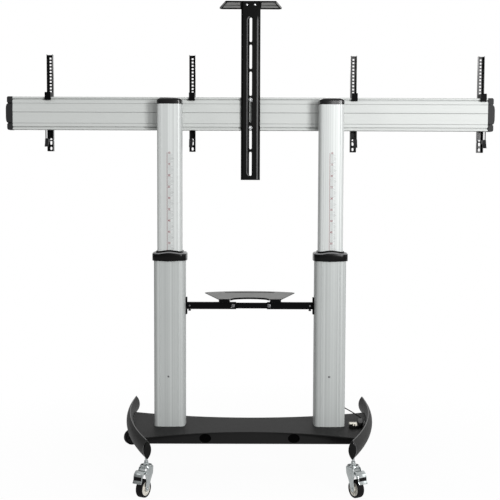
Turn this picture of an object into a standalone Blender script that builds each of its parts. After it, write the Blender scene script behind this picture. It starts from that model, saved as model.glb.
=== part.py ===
"""Mobile twin-column stand for two displays, standing on four castors.

Frame: +X to the right seen from the scale side, +Y towards the displays, +Z up.
The origin is on the floor, midway between the two columns. Lengths are in metres.
"""
import math

import bmesh
import bpy
from mathutils import Matrix, Vector

# Fits
SEAT = 0.0003
SLIDE = 0.0004

# Columns
COLUMN_SPACING = 0.720
UPPER_WIDTH = 0.112
UPPER_DEPTH = 0.103
UPPER_CORNER = 0.017
UPPER_WALL = 0.0028
UPPER_LENGTH = 0.992
UPPER_TOP = 1.642
FACE_BULGE = 0.0022
CORNER_STRIP = 0.015
STRIP_GROOVE = 0.0012
SIDE_GLIDE = 0.002
FACE_GLIDE = 0.0105
SIDE_WALL = 0.013
FACE_WALL = 0.003
LOWER_CORNER = 0.025
LOWER_LENGTH = 0.759
GLIDE_HEIGHT = 0.055
SLOT_OPENING = 0.009
SLOT_LIP = 0.0025
SLOT_CAVITY = 0.017
SLOT_DEPTH = 0.0065
COLLAR_WALL = 0.007
COLLAR_HEIGHT = 0.034
COLLAR_OVERLAP = 0.018
COLLAR_LIP = 0.008
CAP_HEIGHT = 0.031
CAP_OVERHANG = 0.001
LOWER_WIDTH = UPPER_WIDTH + 2 * (SIDE_GLIDE + SIDE_WALL)
LOWER_DEPTH = UPPER_DEPTH + 2 * (FACE_GLIDE + FACE_WALL)

# Base
DECK_TOP = 0.203
DECK_SHEET = 0.004
DECK_FRONT_MID = 0.158
DECK_FRONT_END = 0.265
DECK_BACK_MID = 0.115
DECK_BACK_END = 0.226
BEAM_FRONT = 0.155
BEAM_BACK = 0.105
BEAM_HEIGHT = 0.050
BEAM_WALL = 0.003
BEAM_HOLE_X = 0.195
BEAM_HOLE_WIDTH = 0.048
BEAM_HOLE_HEIGHT = 0.036
LEG_ARC_X = 1.455
LEG_ARC_Y = 0.312
LEG_ARC_RADIUS = 2.020
LEG_REACH = 0.437
LEG_HEIGHT = 0.080
LEG_THICKNESS = 0.034
LEG_WALL = 0.0028
LEG_MID_Z = 0.196
LEG_CAP = 0.010
LEG_JOINT = 0.0006

# Display rail
RAIL_Z = 1.606
RAIL_LENGTH = 2.148
RAIL_HEIGHT = 0.148
RAIL_DEPTH = 0.040
RAIL_WALL = 0.0035
RAIL_SLOT_Z = 0.0625
RAIL_SLOT_OPENING = 0.007
RAIL_SLOT_LIP = 0.003
RAIL_SLOT_CAVITY = 0.013
RAIL_SLOT_DEPTH = 0.007
RAIL_STEP_Z = 0.0445
RAIL_GROOVE_Z = 0.005
RAIL_CLAMP = 0.0085
RAIL_CLAMP_WIDTH = 0.074
RAIL_CLAMP_HEIGHT = 0.118
RAIL_CAP_REACH = 0.0305
RAIL_CAP_LIP = 0.021
RAIL_CAP_RIM = 0.0012
RAIL_FRONT = UPPER_DEPTH / 2 + RAIL_CLAMP
RAIL_BACK = RAIL_FRONT + RAIL_DEPTH

# Camera mast
MAST_WIDTH = 0.0865
MAST_DEPTH = 0.021
MAST_SHEET = 0.003
MAST_CHAMFER = 0.009
MAST_TOP = 2.103
MAST_LENGTH = 0.795
MAST_POCKET_WIDTH = 0.036
MAST_POCKET_DEPTH = 0.001
MAST_POCKET_MARGIN = 0.016
MAST_SLOT_WIDTH = 0.011
MAST_SLOT_BRIDGE = 0.0115
MAST_SLOT_PITCH = 0.1195
MAST_SLOT_COUNT = 6
MAST_SLOT_TOP = 2.0325
MAST_BOLT_SHANK = 0.003
MAST_BOLT_HEAD = 0.0075
MAST_BOLT_DOME = 0.0053
MAST_BOLT_SHOULDER = 0.0069
MAST_BOLT_HEIGHT = 0.0055
MAST_BOLT_EDGE = 0.004
MAST_BOLT_RIM = 0.0015
MAST_NUT_RADIUS = 0.0057
MAST_NUT_HEIGHT = 0.005
CAMERA_SHELF_NEAR = 0.226
CAMERA_SHELF_FAR = 0.288
CAMERA_SHELF_DEPTH = 0.178
CAMERA_SHELF_SHEET = 0.003
CAMERA_SHELF_CLIP = 0.012
CAMERA_TONGUE_MARGIN = 0.004
CAMERA_TONGUE_DROP = 0.030
CAMERA_TONGUE_BITE = 0.001
MAST_FRONT = RAIL_FRONT - SEAT - MAST_DEPTH
MAST_SLOT_LENGTH = MAST_SLOT_PITCH - MAST_SLOT_BRIDGE

# Display arms
ARM_LEFT_INSET = 0.1606
ARM_RIGHT_INSET = 0.0226
ARM_INNER_X = (-0.265, 0.4695)
ARM_WIDTH = 0.0278
ARM_DEPTH = 0.024
ARM_SHEET = 0.0025
ARM_TOP = 1.874
ARM_LENGTH = 0.4375
ARM_STANDOFF = 0.004
ARM_HOLE = 0.008
ARM_HOLE_PITCH = 0.015
ARM_HOLE_COUNT = 11
ARM_HOLE_DROP = 0.016
ARM_SLOT_WIDTH = 0.009
HOOK_WIDTH = 0.0262
HOOK_THICKNESS = 0.020
HOOK_LIP = 0.012
HOOK_DROP = 0.016
LATCH_PIVOT_Z = 1.4855
LATCH_PIN = 0.003
LATCH_SHEET = 0.004
LATCH_OFFSET = 0.0085
LATCH_PAD_WIDTH = 0.016
ARM_X = (ARM_LEFT_INSET - RAIL_LENGTH / 2, *ARM_INNER_X, RAIL_LENGTH / 2 - ARM_RIGHT_INSET)

# Equipment shelf
BAR_Z = 0.7425
BAR_HEIGHT = 0.031
BAR_DEPTH = 0.020
BAR_SHEET = 0.0025
BAR_LEFT_END = -0.062
BAR_RIGHT_START = 0.077
BAR_OVERLAP = 0.060
BRACKET_HEIGHT = 0.076
BRACKET_SHEET = 0.006
BRACKET_DEPTH = 0.030
BRACKET_EAR = 0.030
EQUIPMENT_TOP = 0.774
EQUIPMENT_SHEET = 0.003
EQUIPMENT_NEAR = 0.284
EQUIPMENT_FAR = 0.427
EQUIPMENT_NEAR_Y = -0.020
EQUIPMENT_FAR_Y = 0.320
EQUIPMENT_BOW = 0.058
EQUIPMENT_ARCH = 0.062
EQUIPMENT_TAB = 0.050
EQUIPMENT_SLOT_LENGTH = 0.236
EQUIPMENT_SLOT_WIDTH = 0.018
EQUIPMENT_SLOT_Y = 0.250

# Castors
CASTOR_FRONT_Y = -0.418
CASTOR_REAR_Y = 0.410
CASTOR_TRAIL = 0.022
WHEEL_RADIUS = 0.0375
TYRE_WIDTH = 0.030
TYRE_THICKNESS = 0.008
HUB_WIDTH = 0.026
AXLE_RADIUS = 0.004
CHEEK_INSIDE = 0.018
CHEEK_SHEET = 0.0025
HEAD_TOP = 0.132
HEAD_RADIUS = 0.025
STEM_RADIUS = 0.0055
STEM_TOP = 0.188
KINGPIN_RADIUS = 0.006
FORK_PLATE = 0.007
FORK_RADIUS = 0.0265
RIVET_RADIUS = 0.010
PEDAL_U = 0.030
PEDAL_Z = 0.108
PEDAL_PIN = 0.0025
PEDAL_INNER_WIDTH = 0.033
PEDAL_OUTER_WIDTH = 0.041
CASTOR_TRAILS = ((-0.45, -0.89), (0.50, -0.866), (-0.866, -0.50), (0.25, 0.97))
CASTOR_BRAKED = (1, 2)

# Power lead
CORD_RADIUS = 0.0025
GLAND_X = 0.396
GLAND_Z = 0.286
GLAND_LENGTH = 0.022
PLUG_HEIGHT = 0.024
CORD_ROUTE = (
    (0.396, 0.0876, 0.2860), (0.396, 0.1020, 0.2856), (0.408, 0.121, 0.2760), (0.434, 0.126, 0.2540),
    (0.468, 0.118, 0.2360), (0.498, 0.103, 0.2200), (0.518, 0.084, 0.2090), (0.523, 0.064, 0.2066),
    (0.515, 0.044, 0.2105), (0.506, 0.026, 0.2150), (0.506, 0.0103, 0.2150))

BLACK = (0.018, 0.018, 0.020, 1.0)
PAINT = (0.055, 0.058, 0.062, 1.0)
SILVER = (0.62, 0.63, 0.64, 1.0)
ZINC = (0.48, 0.49, 0.50, 1.0)
CREAM = (0.66, 0.62, 0.54, 1.0)


def clear_scene():
    """Remove every object."""
    for item in list(bpy.data.objects):
        bpy.data.objects.remove(item, do_unlink=True)


def frame_empty(name, location, rotation=0.0):
    """Add the empty that carries one moving body."""
    empty = bpy.data.objects.new(name, None)
    empty.empty_display_size = 0.03
    empty.location = location
    empty.rotation_euler = (0.0, 0.0, rotation)
    bpy.context.collection.objects.link(empty)
    bpy.context.view_layer.update()
    return empty


def place(name, bm, colour, carrier=None, metallic=0.0):
    """Turn a finished mesh into a named object with its own material."""
    bmesh.ops.recalc_face_normals(bm, faces=bm.faces)
    mesh = bpy.data.meshes.new(name)
    bm.to_mesh(mesh)
    bm.free()
    item = bpy.data.objects.new(name, mesh)
    bpy.context.collection.objects.link(item)
    item.data.materials.append(finish(name, colour, metallic))
    if carrier is not None:
        item.parent = carrier
        item.matrix_parent_inverse = carrier.matrix_world.inverted()
    return item


def finish(name, colour, metallic):
    """Make the Principled material of one object."""
    material = bpy.data.materials.new(name + "_finish")
    material.use_nodes = True
    shader = material.node_tree.nodes["Principled BSDF"]
    shader.inputs["Base Color"].default_value = colour
    shader.inputs["Metallic"].default_value = metallic
    shader.inputs["Roughness"].default_value = 0.45
    return material


def combine(item, bm, operation):
    """Cut a mesh from an object, or join it on."""
    bmesh.ops.recalc_face_normals(bm, faces=bm.faces)
    mesh = bpy.data.meshes.new(item.name + "_tool")
    bm.to_mesh(mesh)
    bm.free()
    tool = bpy.data.objects.new(item.name + "_tool", mesh)
    bpy.context.collection.objects.link(tool)
    modifier = item.modifiers.new("shape", "BOOLEAN")
    modifier.operation = operation
    modifier.solver = "EXACT"
    modifier.object = tool
    graph = bpy.context.evaluated_depsgraph_get()
    shaped = bpy.data.meshes.new_from_object(item.evaluated_get(graph))
    item.modifiers.clear()
    item.data = shaped
    bpy.data.objects.remove(tool, do_unlink=True)


def along(axis, a, b, c):
    """Map outline coordinates (a, b) at depth c to a point, for a sweep along an axis."""
    if axis == "X":
        return Vector((c, a, b))
    if axis == "Y":
        return Vector((a, c, b))
    return Vector((a, b, c))


def add_prism(bm, outer, start, end, axis="Z", holes=()):
    """Add a straight solid with the given outline and holes."""
    edges = []
    for outline in (outer, *holes):
        verts = [bm.verts.new(along(axis, a, b, start)) for a, b in outline]
        edges += [bm.edges.new((verts[i - 1], verts[i])) for i in range(len(verts))]
    filled = bmesh.ops.triangle_fill(bm, edges=edges, use_beauty=True)["geom"]
    faces = [item for item in filled if isinstance(item, bmesh.types.BMFace)]
    moved = bmesh.ops.extrude_face_region(bm, geom=faces)["geom"]
    corners = [item for item in moved if isinstance(item, bmesh.types.BMVert)]
    bmesh.ops.translate(bm, vec=along(axis, 0.0, 0.0, end - start), verts=corners)
    return bm


def prism(outer, start, end, axis="Z", holes=()):
    """Make a straight solid."""
    return add_prism(bmesh.new(), outer, start, end, axis, holes)


def add_box(bm, low, high):
    """Add a box between two corners."""
    outline = ((low[0], low[1]), (high[0], low[1]), (high[0], high[1]), (low[0], high[1]))
    return add_prism(bm, outline, low[2], high[2])


def add_turned(bm, profile, matrix, steps=14):
    """Add a solid turned about the local Z axis from an open (radius, height) profile."""
    rings = []
    for radius, height in profile:
        if radius < 1e-6:
            rings.append([bm.verts.new(matrix @ Vector((0.0, 0.0, height)))])
            continue
        angles = [2.0 * math.pi * i / steps for i in range(steps)]
        points = [Vector((radius * math.cos(t), radius * math.sin(t), height)) for t in angles]
        rings.append([bm.verts.new(matrix @ point) for point in points])
    for low, high in zip(rings, rings[1:]):
        bridge(bm, low, high, steps)
    return bm


def bridge(bm, low, high, steps):
    """Close the band between two rings, where a ring may be a single point."""
    for i in range(steps):
        j = (i + 1) % steps
        if len(low) == 1:
            bm.faces.new((low[0], high[i], high[j]))
        elif len(high) == 1:
            bm.faces.new((low[i], low[j], high[0]))
        else:
            bm.faces.new((low[i], low[j], high[j], high[i]))


def turned_ring(profile, matrix, steps=20):
    """Make a ring turned about the local Z axis from a closed profile."""
    return add_turned(bmesh.new(), (*profile, profile[0]), matrix, steps)


def close_ring(bm):
    """Weld the first and last rings of a turned ring."""
    bmesh.ops.remove_doubles(bm, verts=bm.verts, dist=1e-6)
    return bm


def lofted(sections, closed):
    """Skin outlines of equal point count; closed joins the last to the first."""
    bm = bmesh.new()
    rings = [[bm.verts.new((x, y, z)) for x, y in outline] for outline, z in sections]
    count = len(rings[0])
    pairs = list(zip(rings, rings[1:]))
    if closed:
        pairs.append((rings[-1], rings[0]))
    for low, high in pairs:
        bridge(bm, low, high, count)
    if not closed:
        bm.faces.new(rings[0])
        bm.faces.new(rings[-1])
    return bm


def face_line(half, bulge, cuts, steps=4):
    """List (run, inset) points along one panel face, with grooves or slots let in."""
    line = []
    start = -half
    for middle, points in sorted(cuts) + [(None, ())]:
        stop = half if middle is None else middle + points[0][0]
        count = max(1, round(steps * (stop - start) / (2.0 * half)))
        for i in range(count + 1):
            run = start + (stop - start) * i / count
            line.append((run, bulge * (run / half) ** 2))
        if middle is not None:
            line.pop()
            inset = bulge * (middle / half) ** 2
            line += [(middle + run, inset + depth) for run, depth in points[:-1]]
            start = middle + points[-1][0]
    return line


def panel(width, depth, corner, bulge=0.0, face_cuts=(), side_cuts=(), centre=(0.0, 0.0), steps=4):
    """Outline a rounded column section with softly bowed faces."""
    front = face_line(width / 2 - corner, bulge, list(face_cuts))
    side = face_line(depth / 2 - corner, bulge, list(side_cuts))
    outline = []
    for turn in range(4):
        reach = depth / 2 if turn % 2 == 0 else width / 2
        span = width / 2 - corner if turn % 2 == 0 else depth / 2 - corner
        local = [(run, inset - reach) for run, inset in (front if turn % 2 == 0 else side)]
        for i in range(1, steps):
            angle = -math.pi / 2 + math.pi / 2 * i / steps
            radius = corner - bulge
            local.append((span + radius * math.cos(angle), corner - reach + radius * math.sin(angle)))
        cosine, sine = ((1, 0), (0, 1), (-1, 0), (0, -1))[turn]
        outline += [(x * cosine - y * sine, x * sine + y * cosine) for x, y in local]
    return [(x + centre[0], y + centre[1]) for x, y in outline]


def slot_cut(opening, lip, cavity, depth):
    """Describe a T-slot as a face cut."""
    half = opening / 2
    wide = cavity / 2
    return ((-half, 0.0), (-half, lip), (-wide, lip), (-wide, lip + depth),
            (wide, lip + depth), (wide, lip), (half, lip), (half, 0.0))


def stadium(length, width, centre, steps=4):
    """Outline an upright slot with round ends."""
    outline = []
    radius = width / 2
    for end, start in ((1, 0.0), (-1, math.pi)):
        for i in range(steps + 1):
            angle = start + math.pi * i / steps
            outline.append((centre[0] + radius * math.cos(angle),
                            centre[1] + end * (length / 2 - radius) + radius * math.sin(angle)))
    return outline


def ellipse(width, height, centre, steps=16):
    """Outline an oval hole."""
    turns = [2.0 * math.pi * i / steps for i in range(steps)]
    return [(centre[0] + width / 2 * math.cos(t), centre[1] + height / 2 * math.sin(t)) for t in turns]


def bowed(start, middle_y, end, steps):
    """List the points of a shallow arc from start to end through a middle height on X = 0."""
    half = abs(end[0] - start[0]) / 2
    rise = middle_y - start[1]
    radius = (half * half + rise * rise) / (2.0 * rise)
    points = []
    for i in range(steps + 1):
        x = start[0] + (end[0] - start[0]) * i / steps
        drop = math.copysign(math.sqrt(radius * radius - x * x), radius)
        points.append((x, middle_y - radius + drop))
    return points


def leg_x(y, offset=0.0):
    """X of the right leg's arc at a given Y, moved out by an offset."""
    radius = LEG_ARC_RADIUS + offset
    return math.sqrt(radius ** 2 - (y - LEG_ARC_Y) ** 2) - LEG_ARC_X


def leg_side(start, end, offset, steps):
    """List plan points along the right leg's arc."""
    return [(leg_x(start + (end - start) * i / steps, offset), start + (end - start) * i / steps)
            for i in range(steps + 1)]


def base_plan(front, back, inset=0.0):
    """Outline the base between the legs from a front and a back edge given left to right."""
    offset = -LEG_THICKNESS / 2 - LEG_JOINT - inset
    right = leg_side(front[-1][1], back[-1][1], offset, 12)
    left = [(-x, y) for x, y in reversed(right)]
    return front[:-1] + right[:-1] + list(reversed(back))[:-1] + left[:-1]


def edge_points(y_end, y_middle, steps, inset=0.0):
    """List a front or back edge of the base, left to right."""
    x = leg_x(y_end, -LEG_THICKNESS / 2 - LEG_JOINT - inset)
    if abs(y_middle - y_end) < 1e-6:
        return [(-x, y_end), (x, y_end)]
    return bowed((-x, y_end), y_middle, (x, y_end), steps)


def build_base():
    """Deck plate and the tray beam under it."""
    front = edge_points(-DECK_FRONT_END, -DECK_FRONT_MID, 16)
    back = edge_points(DECK_BACK_END, DECK_BACK_MID, 16)
    deck = prism(base_plan(front, back), DECK_TOP - DECK_SHEET, DECK_TOP)
    place("base_deck", deck, PAINT)
    outer = base_plan(edge_points(-BEAM_FRONT, -BEAM_FRONT, 1), edge_points(BEAM_BACK, BEAM_BACK, 1))
    front_y = -BEAM_FRONT + BEAM_WALL
    back_y = BEAM_BACK - BEAM_WALL
    inner = base_plan(edge_points(front_y, front_y, 1, BEAM_WALL),
                      edge_points(back_y, back_y, 1, BEAM_WALL), BEAM_WALL)
    top = DECK_TOP - DECK_SHEET - SEAT
    beam = place("base_crossbeam", prism(outer, top - BEAM_HEIGHT, top, holes=(inner,)), BLACK)
    cutter = bmesh.new()
    for side in (-1, 1):
        hole = ellipse(BEAM_HOLE_WIDTH, BEAM_HOLE_HEIGHT, (side * BEAM_HOLE_X, top - BEAM_HEIGHT / 2))
        add_prism(cutter, hole, -BEAM_FRONT - 0.01, front_y + 0.01, "Y")
    combine(beam, cutter, "DIFFERENCE")


def lens(height, thickness, steps=6):
    """Outline the pointed oval section of a leg, in (outward, up) coordinates."""
    half = height / 2
    rise = thickness / 2
    radius = (half * half + rise * rise) / (2.0 * rise)
    outline = []
    for side in (1, -1):
        for i in range(steps):
            z = side * half * (-1.0 + 2.0 * i / steps)
            outline.append((side * (math.sqrt(radius * radius - z * z) - radius + rise), z))
    return outline


def swept_section(outline, start, end, side, steps):
    """Sweep a solid section along a leg's plan arc between two angles."""
    bm = bmesh.new()
    face = bm.faces.new([bm.verts.new((LEG_ARC_RADIUS + a, 0.0, LEG_MID_Z + b)) for a, b in outline])
    bmesh.ops.rotate(bm, verts=bm.verts, matrix=Matrix.Rotation(start, 3, "Z"))
    bmesh.ops.spin(bm, geom=[face], axis=(0, 0, 1), cent=(0, 0, 0), angle=end - start, steps=steps)
    bmesh.ops.translate(bm, verts=bm.verts, vec=(-LEG_ARC_X, LEG_ARC_Y, 0.0))
    bmesh.ops.scale(bm, verts=bm.verts, vec=(side, 1.0, 1.0))
    return bm


def leg_angle(y):
    """Angle of a point of the leg's arc about the arc's centre."""
    return math.asin((y - LEG_ARC_Y) / LEG_ARC_RADIUS)


def build_legs():
    """The two bowed hollow legs, closed at their tips and bored for the castor stems."""
    outer = lens(LEG_HEIGHT, LEG_THICKNESS)
    inner = lens(LEG_HEIGHT - 6.0 * LEG_WALL, LEG_THICKNESS - 2.0 * LEG_WALL, 4)
    tip = LEG_CAP / LEG_ARC_RADIUS
    front = leg_angle(-LEG_REACH)
    rear = leg_angle(LEG_REACH)
    for side, name in ((-1, "left_leg"), (1, "right_leg")):
        leg = place(name, swept_section(outer, front, rear, side, 12), PAINT)
        combine(leg, swept_section(inner, front + tip, rear - tip, side, 10), "DIFFERENCE")
        bores = bmesh.new()
        for y in (CASTOR_FRONT_Y, CASTOR_REAR_Y):
            spot = Matrix.Translation((side * leg_x(y), y, 0.0))
            radius = STEM_RADIUS + SEAT
            add_turned(bores, ((0, 0.12), (radius, 0.12), (radius, LEG_MID_Z), (0, LEG_MID_Z)), spot)
        combine(leg, bores, "DIFFERENCE")


def column_x(side):
    """X of a column's middle."""
    return side * COLUMN_SPACING / 2


def cavity(side, clearance=0.0):
    """Outline of the lower column's inside, drawn in by a clearance."""
    width = UPPER_WIDTH + 2.0 * (SIDE_GLIDE - clearance)
    depth = UPPER_DEPTH + 2.0 * (FACE_GLIDE - clearance)
    return panel(width, depth, UPPER_CORNER + 0.004, centre=(column_x(side), 0.0))


def upper_outline(side, growth=0.0):
    """Outline of the upper column, let out by a growth, without its grooves."""
    width = UPPER_WIDTH + 2.0 * growth
    depth = UPPER_DEPTH + 2.0 * growth
    return panel(width, depth, UPPER_CORNER + growth, FACE_BULGE, centre=(column_x(side), 0.0))


def build_lower_columns():
    """Lower columns with a T-slot down both sides."""
    cut = slot_cut(SLOT_OPENING, SLOT_LIP, SLOT_CAVITY, SLOT_DEPTH)
    for side, name in ((-1, "left_lower_column"), (1, "right_lower_column")):
        outer = panel(LOWER_WIDTH, LOWER_DEPTH, LOWER_CORNER, FACE_BULGE, side_cuts=((0.0, cut),),
                      centre=(column_x(side), 0.0))
        column = prism(outer, DECK_TOP + SEAT, DECK_TOP + LOWER_LENGTH, holes=(cavity(side),))
        place(name, column, SILVER, metallic=1.0)


def collar_ring(side, growth):
    """Outline of the lower column, let out by a growth, without its slots."""
    return panel(LOWER_WIDTH + 2.0 * growth, LOWER_DEPTH + 2.0 * growth, LOWER_CORNER + growth,
                 FACE_BULGE, centre=(column_x(side), 0.0))


def build_collars():
    """Black collars over the lower columns' tops, each with its guide sleeve inside the column."""
    top = DECK_TOP + LOWER_LENGTH
    bottom = top - COLLAR_OVERLAP
    rim = bottom + COLLAR_HEIGHT
    for side, name in ((-1, "left_column_collar"), (1, "right_column_collar")):
        sections = (
            (collar_ring(side, SEAT), bottom), (collar_ring(side, COLLAR_WALL), bottom),
            (collar_ring(side, COLLAR_WALL), rim - 0.004), (collar_ring(side, COLLAR_WALL - 0.004), rim),
            (upper_outline(side, 0.0065), rim), (upper_outline(side, 0.0055), rim + COLLAR_LIP),
            (upper_outline(side, SLIDE), rim + COLLAR_LIP), (upper_outline(side, SLIDE), top - GLIDE_HEIGHT),
            (cavity(side, SEAT), top - GLIDE_HEIGHT),
            (cavity(side, SEAT), top + SEAT), (collar_ring(side, SEAT), top + SEAT))
        place(name, lofted(sections, True), BLACK)


def build_upper_columns(lift):
    """Upper columns with their corner strips, lower glides and caps."""
    groove = ((-STRIP_GROOVE, 0.0), (0.0, STRIP_GROOVE), (STRIP_GROOVE, 0.0))
    line = UPPER_WIDTH / 2 - CORNER_STRIP - 0.0035
    line = min(line, UPPER_WIDTH / 2 - UPPER_CORNER - 2.0 * STRIP_GROOVE)
    cuts = tuple((spot, groove) for spot in (-line, line))
    bottom = UPPER_TOP - UPPER_LENGTH
    for side, label in ((-1, "left"), (1, "right")):
        outer = panel(UPPER_WIDTH, UPPER_DEPTH, UPPER_CORNER, FACE_BULGE, cuts,
                      centre=(column_x(side), 0.0))
        inner = upper_outline(side, -UPPER_WALL)
        column = prism(outer, bottom, UPPER_TOP, holes=(inner,))
        place(label + "_upper_column", column, SILVER, lift, 1.0)
        glide = prism(cavity(side, SLIDE), bottom, bottom + GLIDE_HEIGHT, holes=(upper_outline(side, SEAT),))
        place(label + "_foot_glide", glide, BLACK, lift)
        levels = ((0.0, 0.0), (0.52, 0.0), (0.76, -0.007), (0.93, -0.020), (1.0, -0.036))
        sections = [(upper_outline(side, CAP_OVERHANG) if inset == 0.0 else cap_outline(side, inset),
                     UPPER_TOP + SEAT + level * CAP_HEIGHT) for level, inset in levels]
        place(label + "_column_cap", lofted(sections, False), BLACK, lift)


def cap_outline(side, inset):
    """Outline of a column cap's crown, drawn in from the column's edge."""
    scale_x = 1.0 + 2.0 * inset / UPPER_WIDTH
    scale_y = 1.0 + 2.0 * inset / UPPER_DEPTH
    middle = column_x(side)
    rim = upper_outline(side, CAP_OVERHANG)
    return [(middle + (x - middle) * scale_x, y * scale_y) for x, y in rim]


def rail_outline():
    """Outline the rail's section in (Y, Z), slots opening towards -Y."""
    half = RAIL_HEIGHT / 2
    chamfer = 0.0015
    tee = slot_cut(RAIL_SLOT_OPENING, RAIL_SLOT_LIP, RAIL_SLOT_CAVITY, RAIL_SLOT_DEPTH)
    step = ((-0.001, 0.0), (-0.001, 0.0015), (0.001, 0.0015), (0.001, 0.0))
    vee = ((-0.0014, 0.0), (-0.0007, 0.0022), (0.0007, 0.0022), (0.0014, 0.0))
    cuts = ((-RAIL_SLOT_Z, tee), (-RAIL_STEP_Z, step), (RAIL_GROOVE_Z, vee), (RAIL_STEP_Z, step),
            (RAIL_SLOT_Z, tee))
    face = [(RAIL_FRONT, chamfer - half)]
    for middle, points in cuts:
        face += [(RAIL_FRONT + depth, middle + run) for run, depth in points]
    face += [(RAIL_FRONT, half - chamfer), (RAIL_FRONT + chamfer, half), (RAIL_BACK - chamfer, half),
             (RAIL_BACK, half - chamfer), (RAIL_BACK, chamfer - half), (RAIL_BACK - chamfer, -half),
             (RAIL_FRONT + chamfer, -half)]
    return [(y, RAIL_Z + z) for y, z in face]


def rail_chambers():
    """Outline the three hollow chambers of the rail's section."""
    slot_back = RAIL_FRONT + RAIL_SLOT_LIP + RAIL_SLOT_DEPTH + RAIL_WALL
    back = RAIL_BACK - RAIL_WALL
    low = RAIL_SLOT_Z - RAIL_SLOT_CAVITY / 2
    middle = low - RAIL_WALL
    chambers = []
    for near, bottom, top in ((RAIL_FRONT + RAIL_WALL, -middle, middle),
                              (slot_back, low, RAIL_HEIGHT / 2 - RAIL_WALL),
                              (slot_back, RAIL_WALL - RAIL_HEIGHT / 2, -low)):
        chambers.append([(near, RAIL_Z + bottom), (back, RAIL_Z + bottom),
                         (back, RAIL_Z + top), (near, RAIL_Z + top)])
    return chambers


def build_rail(lift):
    """Display rail with its end caps and the clamps to the columns."""
    half = RAIL_LENGTH / 2
    rail = prism(rail_outline(), -half, half, "X", rail_chambers())
    place("display_rail", rail, SILVER, lift, 1.0)
    high = RAIL_HEIGHT / 2 + RAIL_CAP_RIM
    split = RAIL_STEP_Z
    lip = RAIL_CAP_LIP
    reach = RAIL_CAP_REACH
    upper = ((0.0, high), (lip, high), (lip + 0.004, high - 0.006), (lip + 0.004, split + 0.004),
             (lip, split + 0.002), (0.005, split + 0.002), (0.005, split - 0.002),
             (reach - 0.006, split - 0.002),
             (reach - 0.002, split - 0.008), (reach, 0.5 * split), (reach, 0.0))
    outline = list(upper) + [(x, -z) for x, z in reversed(upper[:-1])]
    for side, label in ((-1, "left"), (1, "right")):
        end = [(side * (half + SEAT + x), RAIL_Z + z) for x, z in outline]
        cap = prism(end, RAIL_FRONT - RAIL_CAP_RIM, RAIL_BACK + RAIL_CAP_RIM, "Y")
        place(label + "_rail_end_cap", cap, BLACK, lift)
        clamp = bmesh.new()
        x = column_x(side)
        add_box(clamp, (x - RAIL_CLAMP_WIDTH / 2, UPPER_DEPTH / 2 + SEAT, RAIL_Z - RAIL_CLAMP_HEIGHT / 2),
                (x + RAIL_CLAMP_WIDTH / 2, RAIL_FRONT - SEAT, UPPER_TOP - 0.001))
        place(label + "_rail_clamp", clamp, ZINC, lift, 1.0)


def mast_outline():
    """Outline the mast's folded section in plan."""
    half = MAST_WIDTH / 2
    fold = MAST_CHAMFER
    back = MAST_FRONT + MAST_DEPTH
    thin = MAST_SHEET
    ease = thin * math.tan(math.pi / 8)
    right = [(half - fold, MAST_FRONT), (half, MAST_FRONT + fold), (half, back), (half - thin, back),
             (half - thin, MAST_FRONT + fold + ease), (half - fold - ease, MAST_FRONT + thin)]
    left = [(-x, y) for x, y in reversed(right)]
    return right + left


def build_mast(mast, lift):
    """Slotted camera mast, its shelf, and the bolts that hold it to the rail."""
    bottom = MAST_TOP - MAST_LENGTH
    post = place("camera_mast", prism(mast_outline(), bottom, MAST_TOP), PAINT, mast)
    pocket_top = MAST_TOP - 4.0 * MAST_POCKET_MARGIN
    pocket_bottom = bottom + MAST_POCKET_MARGIN
    pocket = pocket_outline(pocket_bottom, pocket_top)
    combine(post, prism(pocket, MAST_FRONT - 0.002, MAST_FRONT + MAST_POCKET_DEPTH, "Y"), "DIFFERENCE")
    cutter = bmesh.new()
    for i in range(MAST_SLOT_COUNT):
        middle = MAST_SLOT_TOP - i * MAST_SLOT_PITCH - MAST_SLOT_LENGTH / 2
        slot = stadium(MAST_SLOT_LENGTH, MAST_SLOT_WIDTH, (0.0, middle))
        add_prism(cutter, slot, MAST_FRONT - 0.002, MAST_FRONT + MAST_SHEET + 0.002, "Y")
    combine(post, cutter, "DIFFERENCE")
    build_camera_shelf(mast)
    head_back = MAST_FRONT + MAST_POCKET_DEPTH - SEAT
    nut_front = RAIL_FRONT + RAIL_SLOT_LIP + SEAT
    shank = MAST_BOLT_SHANK
    head = MAST_BOLT_HEAD
    nut = MAST_NUT_RADIUS
    nut_back = nut_front + MAST_NUT_HEIGHT
    crown = head_back - MAST_BOLT_HEIGHT
    rim = head_back - MAST_BOLT_RIM
    profile = ((0, crown), (MAST_BOLT_DOME, crown), (MAST_BOLT_SHOULDER, head_back - MAST_BOLT_EDGE),
               (MAST_BOLT_SHOULDER, rim), (head, rim), (head, head_back), (shank, head_back),
               (shank, nut_front), (nut, nut_front), (nut, nut_back), (0, nut_back))
    for z, name in ((RAIL_Z + RAIL_SLOT_Z, "upper_mast_bolt"), (RAIL_Z - RAIL_SLOT_Z, "lower_mast_bolt")):
        turn = Matrix.Translation((0.0, 0.0, z)) @ Matrix.Rotation(-math.pi / 2, 4, "X")
        place(name, add_turned(bmesh.new(), profile, turn, 10), ZINC, lift, 1.0)


def pocket_outline(bottom, top):
    """Outline the softly cornered recess pressed into the mast's web."""
    half = MAST_POCKET_WIDTH / 2
    ease = half / 2
    return [(half, bottom + ease), (half, top - ease), (half - 0.3 * ease, top - 0.3 * ease),
            (half - ease, top), (ease - half, top), (0.3 * ease - half, top - 0.3 * ease),
            (-half, top - ease), (-half, bottom + ease), (0.3 * ease - half, bottom + 0.3 * ease),
            (ease - half, bottom), (half - ease, bottom), (half - 0.3 * ease, bottom + 0.3 * ease)]


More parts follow.
